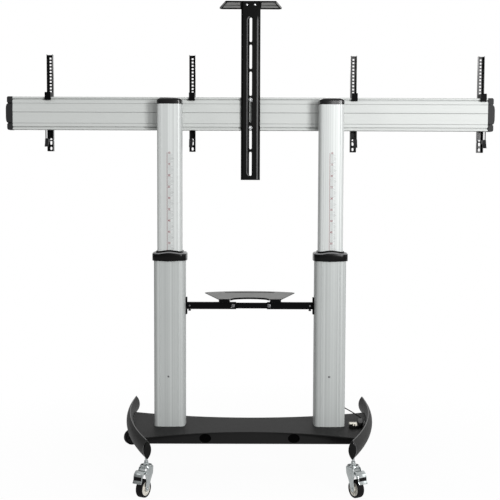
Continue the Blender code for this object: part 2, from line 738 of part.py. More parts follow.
def build_camera_shelf(mast):
    """Flared shelf on the mast's top, with the tongue that goes down behind the web."""
    near = MAST_FRONT
    far = near + CAMERA_SHELF_DEPTH
    low = MAST_TOP + SEAT
    plan = [(-CAMERA_SHELF_NEAR / 2, near), (CAMERA_SHELF_NEAR / 2, near),
            (CAMERA_SHELF_FAR / 2, far - CAMERA_SHELF_CLIP), (CAMERA_SHELF_FAR / 2 - CAMERA_SHELF_CLIP, far),
            (CAMERA_SHELF_CLIP - CAMERA_SHELF_FAR / 2, far),
            (-CAMERA_SHELF_FAR / 2, far - CAMERA_SHELF_CLIP)]
    shelf = place("camera_shelf", prism(plan, low, low + CAMERA_SHELF_SHEET), PAINT, mast)
    tongue = bmesh.new()
    half = MAST_WIDTH / 2 - MAST_CHAMFER - CAMERA_TONGUE_MARGIN
    web = MAST_FRONT + MAST_SHEET + SEAT
    add_box(tongue, (-half, web, MAST_TOP - CAMERA_TONGUE_DROP),
            (half, web + CAMERA_SHELF_SHEET, low + CAMERA_TONGUE_BITE))
    combine(shelf, tongue, "UNION")


def arm_mesh():
    """Outline-built channel of one display arm, standing at X = 0."""
    half = ARM_WIDTH / 2
    thin = ARM_SHEET
    near = RAIL_BACK + ARM_STANDOFF
    far = near + ARM_DEPTH
    plan = ((-half, near), (thin - half, near), (thin - half, far - thin), (half - thin, far - thin),
            (half - thin, near), (half, near), (half, far), (-half, far))
    return prism(plan, ARM_TOP - ARM_LENGTH, ARM_TOP)


def arm_cutter():
    """Square holes down the arm's web, and the two slots near its foot."""
    far = RAIL_BACK + ARM_STANDOFF + ARM_DEPTH
    half = ARM_HOLE / 2
    cutter = bmesh.new()
    for i in range(ARM_HOLE_COUNT):
        z = ARM_TOP - ARM_HOLE_DROP - i * ARM_HOLE_PITCH
        add_box(cutter, (-half, far - 2.0 * ARM_SHEET, z - half), (half, far + 0.002, z + half))
    foot = ARM_TOP - ARM_LENGTH
    for low, high in ((0.006, 0.021), (0.030, 0.060)):
        slot = stadium(high - low, ARM_SLOT_WIDTH, (0.0, foot + (low + high) / 2), 4)
        add_prism(cutter, slot, far - 2.0 * ARM_SHEET, far + 0.002, "Y")
    return cutter


def arm_fittings():
    """Hook over the rail's top edge, and the latch pin across the channel."""
    rail_top = RAIL_Z + RAIL_HEIGHT / 2 + SLIDE
    near = RAIL_FRONT - SLIDE
    root = RAIL_BACK + ARM_STANDOFF + 0.010
    side = [(near, rail_top), (near, rail_top - HOOK_DROP), (near - HOOK_LIP, rail_top - HOOK_DROP),
            (near - HOOK_LIP, rail_top + HOOK_THICKNESS - 0.004),
            (near - HOOK_LIP + 0.004, rail_top + HOOK_THICKNESS), (root, rail_top + HOOK_THICKNESS),
            (root, rail_top)]
    fittings = prism(side, -HOOK_WIDTH / 2, HOOK_WIDTH / 2, "X")
    pin = Matrix.Translation((0.0, latch_pivot_y(), LATCH_PIVOT_Z)) @ Matrix.Rotation(math.pi / 2, 4, "Y")
    reach = ARM_WIDTH / 2 + 0.001
    add_turned(fittings, ((0, -reach), (LATCH_PIN, -reach), (LATCH_PIN, reach), (0, reach)), pin, 8)
    return fittings


def latch_pivot_y():
    """Y of the latch's pin, between the arm's flanges."""
    return RAIL_BACK + ARM_STANDOFF + 0.012


def latch_mesh(side):
    """Latch lever of one arm, standing at X = 0, its plate set towards one side."""
    pivot_y = latch_pivot_y()
    pivot_z = LATCH_PIVOT_Z
    nose = RAIL_FRONT - 0.016
    rail_low = RAIL_Z - RAIL_HEIGHT / 2
    boss = []
    for i in range(9):
        angle = -math.pi / 2 + math.pi * i / 8
        boss.append((pivot_y + 0.008 * math.cos(angle), pivot_z + 0.008 * math.sin(angle)))
    plate = boss + [(nose + 0.006, pivot_z + 0.008), (nose + 0.006, rail_low - 0.003),
                    (nose, rail_low - 0.003), (nose, pivot_z - 0.008)]
    bore = ellipse(2.0 * (LATCH_PIN + SEAT), 2.0 * (LATCH_PIN + SEAT), (pivot_y, pivot_z), 8)
    middle = side * LATCH_OFFSET
    lever = prism(plate, middle - LATCH_SHEET / 2, middle + LATCH_SHEET / 2, "X", (bore,))
    pad = [(nose - 0.002, pivot_z + 0.006), (nose - 0.005, pivot_z - 0.006), (nose - 0.010, pivot_z - 0.020),
           (nose - 0.017, pivot_z - 0.031), (nose - 0.012, pivot_z - 0.031), (nose - 0.004, pivot_z - 0.020),
           (nose + 0.003, pivot_z - 0.009), (nose + 0.026, pivot_z - 0.009), (nose + 0.026, pivot_z + 0.006)]
    outside = side * (LATCH_OFFSET + LATCH_SHEET / 2 + 0.001)
    inside = outside - side * LATCH_PAD_WIDTH
    return lever, prism(pad, min(inside, outside), max(inside, outside), "X")


def build_arms(lift):
    """Four display arms on the rail, each with its latch."""
    for index, x in enumerate(ARM_X, 1):
        side = -1 if index < 3 else 1
        slider = frame_empty(f"arm_{index}_frame", (x, RAIL_BACK, RAIL_Z))
        slider.parent = lift
        slider.matrix_parent_inverse = lift.matrix_world.inverted()
        bpy.context.view_layer.update()
        arm = place(f"display_arm_{index}", shifted(arm_mesh(), x), BLACK, slider)
        combine(arm, shifted(arm_cutter(), x), "DIFFERENCE")
        combine(arm, shifted(arm_fittings(), x), "UNION")
        hinge = frame_empty(f"latch_{index}_frame", (x, latch_pivot_y(), LATCH_PIVOT_Z))
        hinge.parent = slider
        hinge.matrix_parent_inverse = slider.matrix_world.inverted()
        bpy.context.view_layer.update()
        lever, pad = latch_mesh(side)
        latch = place(f"arm_latch_{index}", shifted(lever, x), BLACK, hinge)
        combine(latch, shifted(pad, x), "UNION")


def shifted(bm, x):
    """Move a mesh along X."""
    bmesh.ops.translate(bm, verts=bm.verts, vec=(x, 0.0, 0.0))
    return bm


def channel(height, near, far, sheet):
    """Outline a bar's C-section in (Y, Z), its web at the near side."""
    half = height / 2
    return [(y, BAR_Z + z) for y, z in (
        (near, -half), (far, -half), (far, sheet - half), (near + sheet, sheet - half),
        (near + sheet, half - sheet), (far, half - sheet), (far, half), (near, half))]


def build_equipment_bars(shelf):
    """Three nested bars between the columns."""
    end = COLUMN_SPACING / 2 - LOWER_WIDTH / 2 - BRACKET_SHEET - 2.0 * SEAT
    near = -BAR_DEPTH / 2
    outer = channel(BAR_HEIGHT, near, BAR_DEPTH / 2, BAR_SHEET)
    inner_near = near + BAR_SHEET + SEAT
    inner_height = BAR_HEIGHT - 2.0 * (BAR_SHEET + SLIDE)
    inner = channel(inner_height, inner_near, BAR_DEPTH / 2 - 0.002, BAR_SHEET)
    spans = (("av_bar_left", outer, -end, BAR_LEFT_END), ("av_bar_right", outer, BAR_RIGHT_START, end),
             ("av_bar_middle", inner, BAR_LEFT_END - BAR_OVERLAP, BAR_RIGHT_START + BAR_OVERLAP))
    for name, outline, start, stop in spans:
        place(name, prism(outline, start, stop, "X"), PAINT, shelf)


def build_brackets(shelf):
    """End brackets whose T-heads run in the columns' side slots, with ears behind the bars."""
    face = COLUMN_SPACING / 2 - LOWER_WIDTH / 2
    neck = SLOT_OPENING / 2 - SLIDE
    wide = SLOT_CAVITY / 2 - SLIDE
    half = BRACKET_DEPTH / 2
    plate = face - SEAT - BRACKET_SHEET
    lip = face + SLOT_LIP + SLIDE
    deep = face + SLOT_LIP + SLOT_DEPTH - SLIDE
    tee = [(plate, -half), (face - SEAT, -half), (face - SEAT, -neck), (lip, -neck), (lip, -wide),
           (deep, -wide), (deep, wide), (lip, wide), (lip, neck), (face - SEAT, neck), (face - SEAT, half),
           (plate, half)]
    bottom = BAR_Z - BRACKET_HEIGHT / 2
    ear_near = -BAR_DEPTH / 2 + BAR_SHEET + SEAT
    ear_half = BAR_HEIGHT / 2 - BAR_SHEET - SLIDE
    for side, name in ((-1, "left_av_bracket"), (1, "right_av_bracket")):
        bracket = prism([(side * x, y) for x, y in tee], bottom, bottom + BRACKET_HEIGHT)
        item = place(name, bracket, PAINT, shelf)
        start, stop = sorted((side * (plate + 0.001), side * (plate - BRACKET_EAR)))
        ear = add_box(bmesh.new(), (start, ear_near, BAR_Z - ear_half),
                      (stop, ear_near + BAR_SHEET, BAR_Z + ear_half))
        combine(item, ear, "UNION")


def build_equipment_shelf(shelf):
    """Flared equipment shelf with an arched front edge, standing on the bars on two folded tabs."""
    near = EQUIPMENT_NEAR / 2
    far = EQUIPMENT_FAR / 2
    span = near - EQUIPMENT_TAB - 0.004
    arch = []
    for i in range(13):
        x = span - 2.0 * span * i / 12
        arch.append((-x, EQUIPMENT_NEAR_Y + EQUIPMENT_ARCH * (1.0 - (x / span) ** 2) ** 0.5))
    corner = EQUIPMENT_FAR_Y - EQUIPMENT_BOW - 0.015
    back = []
    for i in range(13):
        x = (far - 0.012) * (1.0 - i / 6)
        back.append((x, EQUIPMENT_FAR_Y - EQUIPMENT_BOW * (x / far) ** 2))
    sides = [(near, EQUIPMENT_NEAR_Y), (far, corner)]
    plan = [(-near, EQUIPMENT_NEAR_Y)] + arch + sides + back + [(-far, corner)]
    centre = (EQUIPMENT_SLOT_Y, 0.0)
    slot = [(y, x) for x, y in stadium(EQUIPMENT_SLOT_LENGTH, EQUIPMENT_SLOT_WIDTH, centre, 4)]
    low = EQUIPMENT_TOP - EQUIPMENT_SHEET
    item = place("av_shelf", prism(plan, low, EQUIPMENT_TOP, holes=(slot,)), PAINT, shelf)
    seat = BAR_Z + BAR_HEIGHT / 2 + SEAT
    sheet = EQUIPMENT_SHEET
    front = EQUIPMENT_NEAR_Y + 0.0005
    fold = [(front, low + 0.001), (front, seat), (BAR_DEPTH / 2, seat), (BAR_DEPTH / 2, seat + sheet),
            (front + sheet, seat + sheet), (front + sheet, low + 0.001)]
    tabs = bmesh.new()
    for side in (-1, 1):
        start, stop = sorted((side * (near - 0.002), side * (near - 0.002 - EQUIPMENT_TAB)))
        add_prism(tabs, fold, start, stop, "X")
    combine(item, tabs, "UNION")


def castor_spot(index):
    """Stem position and trail angle of one castor."""
    side = -1 if index % 2 else 1
    y = CASTOR_FRONT_Y if index < 3 else CASTOR_REAR_Y
    trail = CASTOR_TRAILS[index - 1]
    return Vector((side * leg_x(y), y, 0.0)), math.atan2(trail[1], trail[0])


def build_castor_heads():
    """Stems, swivel dishes and kingpins of the four castors."""
    dish_low = HEAD_TOP - 0.0045
    plate_low = dish_low - SEAT - FORK_PLATE - SEAT
    neck = LEG_MID_Z - LEG_HEIGHT / 2 - 0.014
    profile = ((0, STEM_TOP), (STEM_RADIUS, STEM_TOP), (STEM_RADIUS, neck), (0.009, neck),
               (0.009, HEAD_TOP + 0.002), (HEAD_RADIUS - 0.003, HEAD_TOP), (HEAD_RADIUS, HEAD_TOP - 0.002),
               (HEAD_RADIUS, dish_low), (KINGPIN_RADIUS, dish_low), (KINGPIN_RADIUS, plate_low),
               (RIVET_RADIUS, plate_low), (RIVET_RADIUS - 0.001, plate_low - 0.004), (0, plate_low - 0.005))
    for index in range(1, 5):
        spot, _ = castor_spot(index)
        head = add_turned(bmesh.new(), profile, Matrix.Translation(spot), 12)
        place(f"castor_head_{index}", head, ZINC, metallic=1.0)


def fork_mesh():
    """Swivel plate, cheeks, axle and pedal pin of a castor, in its trail frame."""
    top = HEAD_TOP - 0.0045 - SEAT
    bore = KINGPIN_RADIUS + SEAT
    plate = turned_ring(((bore, top - FORK_PLATE), (FORK_RADIUS - 0.001, top - FORK_PLATE),
                         (FORK_RADIUS, top - 0.001), (FORK_RADIUS, top), (bore, top)), Matrix(), 14)
    close_ring(plate)
    drop = WHEEL_RADIUS
    trail = CASTOR_TRAIL
    cheek = [(-0.0235, top - 0.002), (0.0245, top - 0.002), (0.033, 0.108), (0.036, 0.094), (0.031, 0.084),
             (0.029, 0.070), (trail + 0.012, 0.050), (trail + 0.012, drop), (trail + 0.0085, drop - 0.0085),
             (trail, drop - 0.012), (trail - 0.0085, drop - 0.0085), (trail - 0.012, drop),
             (-0.004, 0.070), (-0.0205, 0.096)]
    parts = bmesh.new()
    for side in (-1, 1):
        start, stop = sorted((side * CHEEK_INSIDE, side * (CHEEK_INSIDE + CHEEK_SHEET)))
        add_prism(parts, cheek, start, stop, "Y")
    pins = bmesh.new()
    reach = CHEEK_INSIDE + CHEEK_SHEET + 0.002
    for u, z, radius in ((trail, drop, AXLE_RADIUS), (PEDAL_U, PEDAL_Z, PEDAL_PIN)):
        spot = Matrix.Translation((u, 0.0, z)) @ Matrix.Rotation(math.pi / 2, 4, "X")
        add_turned(pins, ((0, -reach), (radius, -reach), (radius, reach), (0, reach)), spot, 8)
    return plate, parts, pins


def wheel_meshes():
    """Hub and tyre of a castor wheel, in the trail frame."""
    spot = Matrix.Translation((CASTOR_TRAIL, 0.0, WHEEL_RADIUS)) @ Matrix.Rotation(math.pi / 2, 4, "X")
    rim = WHEEL_RADIUS - TYRE_THICKNESS - SEAT
    half = HUB_WIDTH / 2
    bore = AXLE_RADIUS + SEAT
    hub = turned_ring(((bore, -half - 0.003), (0.010, -half - 0.003), (0.011, -half + 0.005),
                       (rim - 0.004, -half + 0.005), (rim, -half), (rim, half), (rim - 0.004, half - 0.005),
                       (0.011, half - 0.005), (0.010, half + 0.003), (bore, half + 0.003)), spot, 14)
    wide = TYRE_WIDTH / 2
    inner = WHEEL_RADIUS - TYRE_THICKNESS
    tyre = turned_ring(((inner, -wide + 0.001), (WHEEL_RADIUS - 0.003, -wide), (WHEEL_RADIUS, -wide + 0.005),
                        (WHEEL_RADIUS, wide - 0.005), (WHEEL_RADIUS - 0.003, wide),
                        (inner, wide - 0.001)), spot, 24)
    return close_ring(hub), close_ring(tyre)


def pedal_mesh():
    """Brake pedal of a castor, in its trail frame: a tongue on the pin and a flared tread."""
    tongue = [(0.0245, 0.1115), (0.046, 0.1120), (0.058, 0.1050), (0.058, 0.1000), (0.046, 0.0985),
              (0.034, 0.0985), (0.0245, 0.1035)]
    bore = ellipse(2.0 * (PEDAL_PIN + SEAT), 2.0 * (PEDAL_PIN + SEAT), (PEDAL_U, PEDAL_Z), 8)
    half = PEDAL_INNER_WIDTH / 2
    pedal = prism(tongue, -half, half, "Y", (bore,))
    tread = [(0.042, 0.1160), (0.050, 0.1150), (0.060, 0.1060), (0.065, 0.0940), (0.0665, 0.0800),
             (0.073, 0.0680), (0.070, 0.0665), (0.0635, 0.0775), (0.0615, 0.0930), (0.057, 0.1035),
             (0.049, 0.1105), (0.042, 0.1115)]
    wide = PEDAL_OUTER_WIDTH / 2
    return pedal, prism(tread, -wide, wide, "Y")


def build_castor(index):
    """Fork and wheel of one castor, with its pedal where it has a brake."""
    spot, angle = castor_spot(index)
    pose = Matrix.Translation(spot) @ Matrix.Rotation(angle, 4, "Z")
    swivel = frame_empty(f"castor_{index}_frame", spot, angle)
    plate, cheeks, pins = fork_mesh()
    hub, tyre = wheel_meshes()
    for bm in (plate, cheeks, pins, hub, tyre):
        bmesh.ops.transform(bm, verts=bm.verts, matrix=pose)
    fork = place(f"castor_fork_{index}", plate, ZINC, swivel, 1.0)
    combine(fork, cheeks, "UNION")
    combine(fork, pins, "UNION")
    wheel = frame_empty(f"wheel_{index}_frame", pose @ Vector((CASTOR_TRAIL, 0.0, WHEEL_RADIUS)), angle)
    wheel.parent = swivel
    wheel.matrix_parent_inverse = swivel.matrix_world.inverted()
    bpy.context.view_layer.update()
    place(f"castor_hub_{index}", hub, CREAM, wheel)
    place(f"castor_tyre_{index}", tyre, BLACK, wheel)
    if index in CASTOR_BRAKED:
        build_pedal(index, swivel, pose, angle)


def build_pedal(index, swivel, pose, angle):
    """Brake pedal of one castor, on the pin between the fork's cheeks."""
    hinge = frame_empty(f"pedal_{index}_frame", pose @ Vector((PEDAL_U, 0.0, PEDAL_Z)), angle)
    hinge.parent = swivel
    hinge.matrix_parent_inverse = swivel.matrix_world.inverted()
    bpy.context.view_layer.update()
    pedal, tread = pedal_mesh()
    for bm in (pedal, tread):
        bmesh.ops.transform(bm, verts=bm.verts, matrix=pose)
    lever = place(f"castor_pedal_{index}", pedal, ZINC, hinge, 1.0)
    combine(lever, tread, "UNION")


def smooth_route(points, step):
    """Walk a smooth curve through the route's points at about one spacing."""
    route = [Vector(point) for point in points]
    ends = [2.0 * route[0] - route[1]] + route + [2.0 * route[-1] - route[-2]]
    walked = [route[0]]
    for a, b, c, d in zip(ends, ends[1:], ends[2:], ends[3:]):
        count = max(1, round((c - b).length / step))
        for i in range(1, count + 1):
            t = i / count
            walked.append(0.5 * (2.0 * b + (c - a) * t + (2.0 * a - 5.0 * b + 4.0 * c - d) * t * t
                                 + (3.0 * b - a - 3.0 * c + d) * t ** 3))
    return walked


def build_lead():
    """Gland behind the right column, the cord, and its plug lying on the deck."""
    rear = (GLAND_X, LOWER_DEPTH / 2 + SEAT, GLAND_Z)
    spot = Matrix.Translation(rear) @ Matrix.Rotation(-math.pi / 2, 4, "X")
    gland = add_turned(bmesh.new(), ((0, 0), (0.009, 0), (0.009, 0.004), (0.0065, 0.006),
                                     (0.0045, GLAND_LENGTH), (0, GLAND_LENGTH)), spot, 10)
    place("cable_gland", gland, BLACK)
    route = smooth_route(CORD_ROUTE, 0.0095)
    data = bpy.data.curves.new("power_cord", "CURVE")
    data.dimensions = "3D"
    data.bevel_depth = CORD_RADIUS
    data.bevel_resolution = 2
    data.use_fill_caps = True
    spline = data.splines.new("POLY")
    spline.points.add(len(route) - 1)
    for point, spot in zip(spline.points, route):
        point.co = (*spot, 1.0)
    cord = bpy.data.objects.new("power_cord", data)
    bpy.context.collection.objects.link(cord)
    cord.data.materials.append(finish("power_cord", BLACK, 0.0))
    low = DECK_TOP + SEAT
    body = ((0.4955, 0.0100), (0.5165, 0.0100), (0.5090, -0.064), (0.5010, -0.088), (0.4860, -0.090),
            (0.4445, -0.094), (0.4445, -0.064), (0.4870, -0.058), (0.4900, -0.010))
    place("cord_plug", prism(body, low, low + PLUG_HEIGHT), BLACK)


def main():
    """Build the stand."""
    clear_scene()
    lift = frame_empty("lift_frame", (0.0, 0.0, UPPER_TOP))
    shelf = frame_empty("shelf_frame", (0.0, 0.0, BAR_Z))
    mast = frame_empty("mast_frame", (0.0, MAST_FRONT, RAIL_Z))
    mast.parent = lift
    mast.matrix_parent_inverse = lift.matrix_world.inverted()
    bpy.context.view_layer.update()
    build_base()
    build_legs()
    build_lower_columns()
    build_collars()
    build_castor_heads()
    for index in range(1, 5):
        build_castor(index)
    build_lead()
    build_equipment_bars(shelf)
    build_brackets(shelf)
    build_equipment_shelf(shelf)
    build_upper_columns(lift)
    build_rail(lift)
    build_mast(mast, lift)
    build_arms(lift)


main()
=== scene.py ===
"""Dressed scene of a rolling twin-column stand for two displays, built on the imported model.

Frame: +X to the right seen from the scale side, +Y towards the displays, +Z up, in metres.
"""
import logging
import math
from collections.abc import Iterable, Sequence
from dataclasses import dataclass, replace
from enum import Enum
from functools import cache

import bmesh
import bpy
from bmesh.types import BMEdge, BMesh, BMFace, BMVert
from mathutils import Matrix, Vector

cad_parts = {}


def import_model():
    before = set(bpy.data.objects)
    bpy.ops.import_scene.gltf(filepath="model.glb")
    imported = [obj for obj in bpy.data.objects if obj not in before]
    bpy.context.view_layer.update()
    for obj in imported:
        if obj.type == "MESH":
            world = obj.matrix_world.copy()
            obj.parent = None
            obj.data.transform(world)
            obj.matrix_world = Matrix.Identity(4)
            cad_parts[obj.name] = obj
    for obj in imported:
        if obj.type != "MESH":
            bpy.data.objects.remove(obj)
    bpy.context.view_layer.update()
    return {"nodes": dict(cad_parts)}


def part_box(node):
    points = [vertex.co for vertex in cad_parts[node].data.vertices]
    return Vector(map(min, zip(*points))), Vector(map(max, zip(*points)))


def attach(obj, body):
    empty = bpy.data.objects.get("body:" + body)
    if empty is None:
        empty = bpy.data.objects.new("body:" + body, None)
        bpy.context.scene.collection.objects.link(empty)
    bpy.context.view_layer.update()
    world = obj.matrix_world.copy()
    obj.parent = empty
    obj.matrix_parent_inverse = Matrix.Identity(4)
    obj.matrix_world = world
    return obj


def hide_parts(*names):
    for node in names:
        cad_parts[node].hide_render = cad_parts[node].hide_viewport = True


LOG = logging.getLogger("stand")
Flat = tuple[float, float]
Spot = tuple[float, float, float]


class Axis(Enum):
    """Direction that a flat outline is drawn out along."""

    X = "X"
    Y = "Y"
    Z = "Z"

    def point(self, a: float, b: float, c: float) -> Vector:
        """Place outline coordinates at a depth.

        Args:
            a: First outline coordinate.
            b: Second outline coordinate.
            c: Depth along this axis.

        Returns:
            The point in the stand's frame.
        """
        if self is Axis.X:
            return Vector((c, a, b))
        if self is Axis.Y:
            return Vector((a, c, b))
        return Vector((a, b, c))


class Side(Enum):
    """Left or right half of the stand, seen from the scale side."""

    LEFT = -1
    RIGHT = 1

    @property
    def label(self) -> str:
        """Word that starts the names of this side's pieces."""
        return self.name.lower()


class Tree:
    """Short way to add and join the nodes of one node tree."""

    def __init__(self, tree: bpy.types.NodeTree) -> None:
        """Start from an empty tree.

        Args:
            tree: Node tree of a material, a world or a group.
        """
        self.tree = tree
        tree.nodes.clear()

    def add(self, kind: str, values: dict | None = None, **settings) -> bpy.types.Node:
        """Add a node.

        Args:
            kind: Node type.
            values: Socket values or sources by socket name or number.
            settings: Properties of the node.

        Returns:
            The new node.
        """
        node = self.tree.nodes.new(kind)
        for key, value in settings.items():
            setattr(node, key, value)
        for key, value in (values or {}).items():
            self.feed(node.inputs[key], value)
        return node

    def feed(self, socket: bpy.types.NodeSocket, value: object) -> None:
        """Set a socket, or join it to a source.

        Args:
            socket: Socket that takes the value.
            value: Number, colour, vector or output socket.
        """
        if isinstance(value, bpy.types.NodeSocket):
            self.tree.links.new(value, socket)
        else:
            socket.default_value = value

    def math(self, operation: str, *values: object) -> bpy.types.NodeSocket:
        """Work out a number.

        Args:
            operation: Name of the Math node's operation.
            values: Operands, as numbers or sockets.

        Returns:
            The result's socket.
        """
        return self.add("ShaderNodeMath", dict(enumerate(values)), operation=operation).outputs[0]

    def stretch(self, value: object, low: float, high: float, start: object,
                end: object) -> bpy.types.NodeSocket:
        """Carry a number from one range to another, held at its ends.

        Args:
            value: Number to carry.
            low: Start of the range it comes from.
            high: End of the range it comes from.
            start: Start of the range it goes to.
            end: End of the range it goes to.

        Returns:
            The result's socket.
        """
        values = {"Value": value, "From Min": low, "From Max": high, "To Min": start, "To Max": end}
        return self.add("ShaderNodeMapRange", values).outputs["Result"]


class Effects:
    """Shader groups that more than one finish uses, each built once.

    Attributes:
        GRAIN: Outputs of a group that makes a grain.
    """

    GRAIN = {"Shade": "NodeSocketFloat", "Height": "NodeSocketFloat"}

    @staticmethod
    def start(name: str, inputs: dict[str, tuple[str, object]], outputs: dict[str, str]) -> tuple:
        """Open a group for building.

        Args:
            name: Name of the group.
            inputs: Socket type and default of each input.
            outputs: Socket type of each output.

        Returns:
            The group, its wiring helper, its input node and its output node.
        """
        group = bpy.data.node_groups.new(name, "ShaderNodeTree")
        for label, (kind, default) in inputs.items():
            socket = group.interface.new_socket(name=label, in_out="INPUT", socket_type=kind)
            socket.default_value = default
        for label, kind in outputs.items():
            group.interface.new_socket(name=label, in_out="OUTPUT", socket_type=kind)
        tree = Tree(group)
        return group, tree, tree.add("NodeGroupInput"), tree.add("NodeGroupOutput")

    @staticmethod
    @cache
    def drawn_grain() -> bpy.types.NodeTree:
        """Long die lines of an extrusion, fine ones over broad ones.

        Returns:
            Group with inputs Run and Broad Share, and outputs Shade and Height.
        """
        group, tree, source, sink = Effects.start(
            "drawn_grain",
            {"Run": ("NodeSocketVector", (500.0, 500.0, 2.0)), "Broad Share": ("NodeSocketFloat", 0.5)},
            Effects.GRAIN)
        place = tree.add("ShaderNodeTexCoord").outputs["Object"]
        fine = tree.add("ShaderNodeVectorMath", {0: place, 1: source.outputs["Run"]}, operation="MULTIPLY")
        coarse = 0.17
        broad = tree.add("ShaderNodeVectorMath", {0: fine.outputs[0], 1: (coarse, coarse, coarse)},
                         operation="MULTIPLY")
        lines = tree.add("ShaderNodeTexNoise", {"Vector": fine.outputs[0], "Scale": 1.0, "Detail": 4.0,
                                                "Roughness": 0.65}).outputs[0]
        bands = tree.add("ShaderNodeTexNoise", {"Vector": broad.outputs[0], "Scale": 1.0, "Detail": 2.0,
                                                "Roughness": 0.5}).outputs[0]
        mixed = tree.add("ShaderNodeMix", {0: source.outputs["Broad Share"], 2: lines, 3: bands})
        tree.feed(sink.inputs["Shade"], tree.stretch(mixed.outputs[0], 0.3, 0.7, 0.0, 1.0))
        tree.feed(sink.inputs["Height"], mixed.outputs[0])
        return group

    @staticmethod
    @cache
    def pebble() -> bpy.types.NodeTree:
        """Orange-peel pebbling of powder coat, moulded plastic and rubber.

        Returns:
            Group with inputs Size and Sharpness, and outputs Shade and Height.
        """
        group, tree, source, sink = Effects.start(
            "pebble", {"Size": ("NodeSocketFloat", 700.0), "Sharpness": ("NodeSocketFloat", 0.4)},
            Effects.GRAIN)
        place = tree.add("ShaderNodeTexCoord").outputs["Object"]
        size = source.outputs["Size"]
        peel = tree.add("ShaderNodeTexNoise", {"Vector": place, "Scale": size, "Detail": 3.0,
                                               "Roughness": 0.55}).outputs[0]
        cells = tree.add("ShaderNodeTexVoronoi", {"Vector": place, "Scale": size},
                         feature="SMOOTH_F1").outputs["Distance"]
        mixed = tree.add("ShaderNodeMix", {0: source.outputs["Sharpness"], 2: peel, 3: cells})
        tree.feed(sink.inputs["Shade"], tree.stretch(peel, 0.3, 0.7, 0.0, 1.0))
        tree.feed(sink.inputs["Height"], mixed.outputs[0])
        return group

    @staticmethod
    @cache
    def plated() -> bpy.types.NodeTree:
        """Cloudy passivate and fine rolling scratches of bright zinc plate.

        Returns:
            Group with input Size, and outputs Shade and Height.
        """
        group, tree, source, sink = Effects.start(
            "plated", {"Size": ("NodeSocketFloat", 90.0)}, Effects.GRAIN)
        place = tree.add("ShaderNodeTexCoord").outputs["Object"]
        cloud = tree.add("ShaderNodeTexNoise", {"Vector": place, "Scale": source.outputs["Size"],
                                                "Detail": 2.0, "Roughness": 0.5,
                                                "Distortion": 0.6}).outputs[0]
        slanted = tree.add("ShaderNodeMapping", {"Vector": place, "Rotation": (0.5, 0.2, 0.7),
                                                 "Scale": (1900.0, 60.0, 1900.0)})
        scratch = tree.add("ShaderNodeTexNoise", {"Vector": slanted.outputs[0], "Scale": 1.0,
                                                  "Detail": 2.0}).outputs[0]
        mixed = tree.add("ShaderNodeMix", {0: 0.35, 2: cloud, 3: scratch})
        tree.feed(sink.inputs["Shade"], tree.stretch(mixed.outputs[0], 0.3, 0.7, 0.0, 1.0))
        tree.feed(sink.inputs["Height"], scratch)
        return group

    @staticmethod
    @cache
    def surface_tone() -> bpy.types.NodeTree:
        """Colour of a surface from its tone, its grain, its slow drift and the dust on its upper faces.

        Returns:
            Group with inputs Colour, Shade, Contrast, Drift, Drift Size, Dust and Dust Colour, and
            output Colour.
        """
        group, tree, source, sink = Effects.start(
            "surface_tone",
            {"Colour": ("NodeSocketColor", (0.5, 0.5, 0.5, 1.0)), "Shade": ("NodeSocketFloat", 0.5),
             "Contrast": ("NodeSocketFloat", 0.1), "Drift": ("NodeSocketFloat", 0.05),
             "Drift Size": ("NodeSocketFloat", 6.0), "Dust": ("NodeSocketFloat", 0.0),
             "Dust Colour": ("NodeSocketColor", (0.42, 0.41, 0.39, 1.0))}, {"Colour": "NodeSocketColor"})
        place = tree.add("ShaderNodeTexCoord").outputs["Object"]
        slow = tree.add("ShaderNodeTexNoise", {"Vector": place, "Scale": source.outputs["Drift Size"],
                                               "Detail": 3.0}).outputs[0]
        drift = tree.math("MULTIPLY", tree.math("SUBTRACT", slow, 0.5), source.outputs["Drift"])
        grain = tree.math("MULTIPLY", tree.math("SUBTRACT", source.outputs["Shade"], 0.5),
                          source.outputs["Contrast"])
        level = tree.math("ADD", tree.math("MULTIPLY_ADD", drift, 2.0, 1.0), grain)
        toned = tree.add("ShaderNodeVectorMath", {0: source.outputs["Colour"], "Scale": level},
                         operation="SCALE")
        normal = tree.add("ShaderNodeNewGeometry").outputs["Normal"]
        upward = tree.add("ShaderNodeSeparateXYZ", {0: normal}).outputs["Z"]
        speck = tree.add("ShaderNodeTexNoise", {"Vector": place, "Scale": 46.0, "Detail": 5.0,
                                                "Roughness": 0.7}).outputs[0]
        lying = tree.math("MULTIPLY", tree.stretch(upward, 0.4, 1.0, 0.0, 1.0),
                          tree.stretch(speck, 0.42, 0.72, 0.25, 1.0))
        mask = tree.math("MULTIPLY", lying, source.outputs["Dust"])
        dusted = tree.add("ShaderNodeMix", {0: mask, 6: toned.outputs[0], 7: source.outputs["Dust Colour"]},
                          data_type="RGBA")
        tree.feed(sink.inputs["Colour"], dusted.outputs[2])
        return group


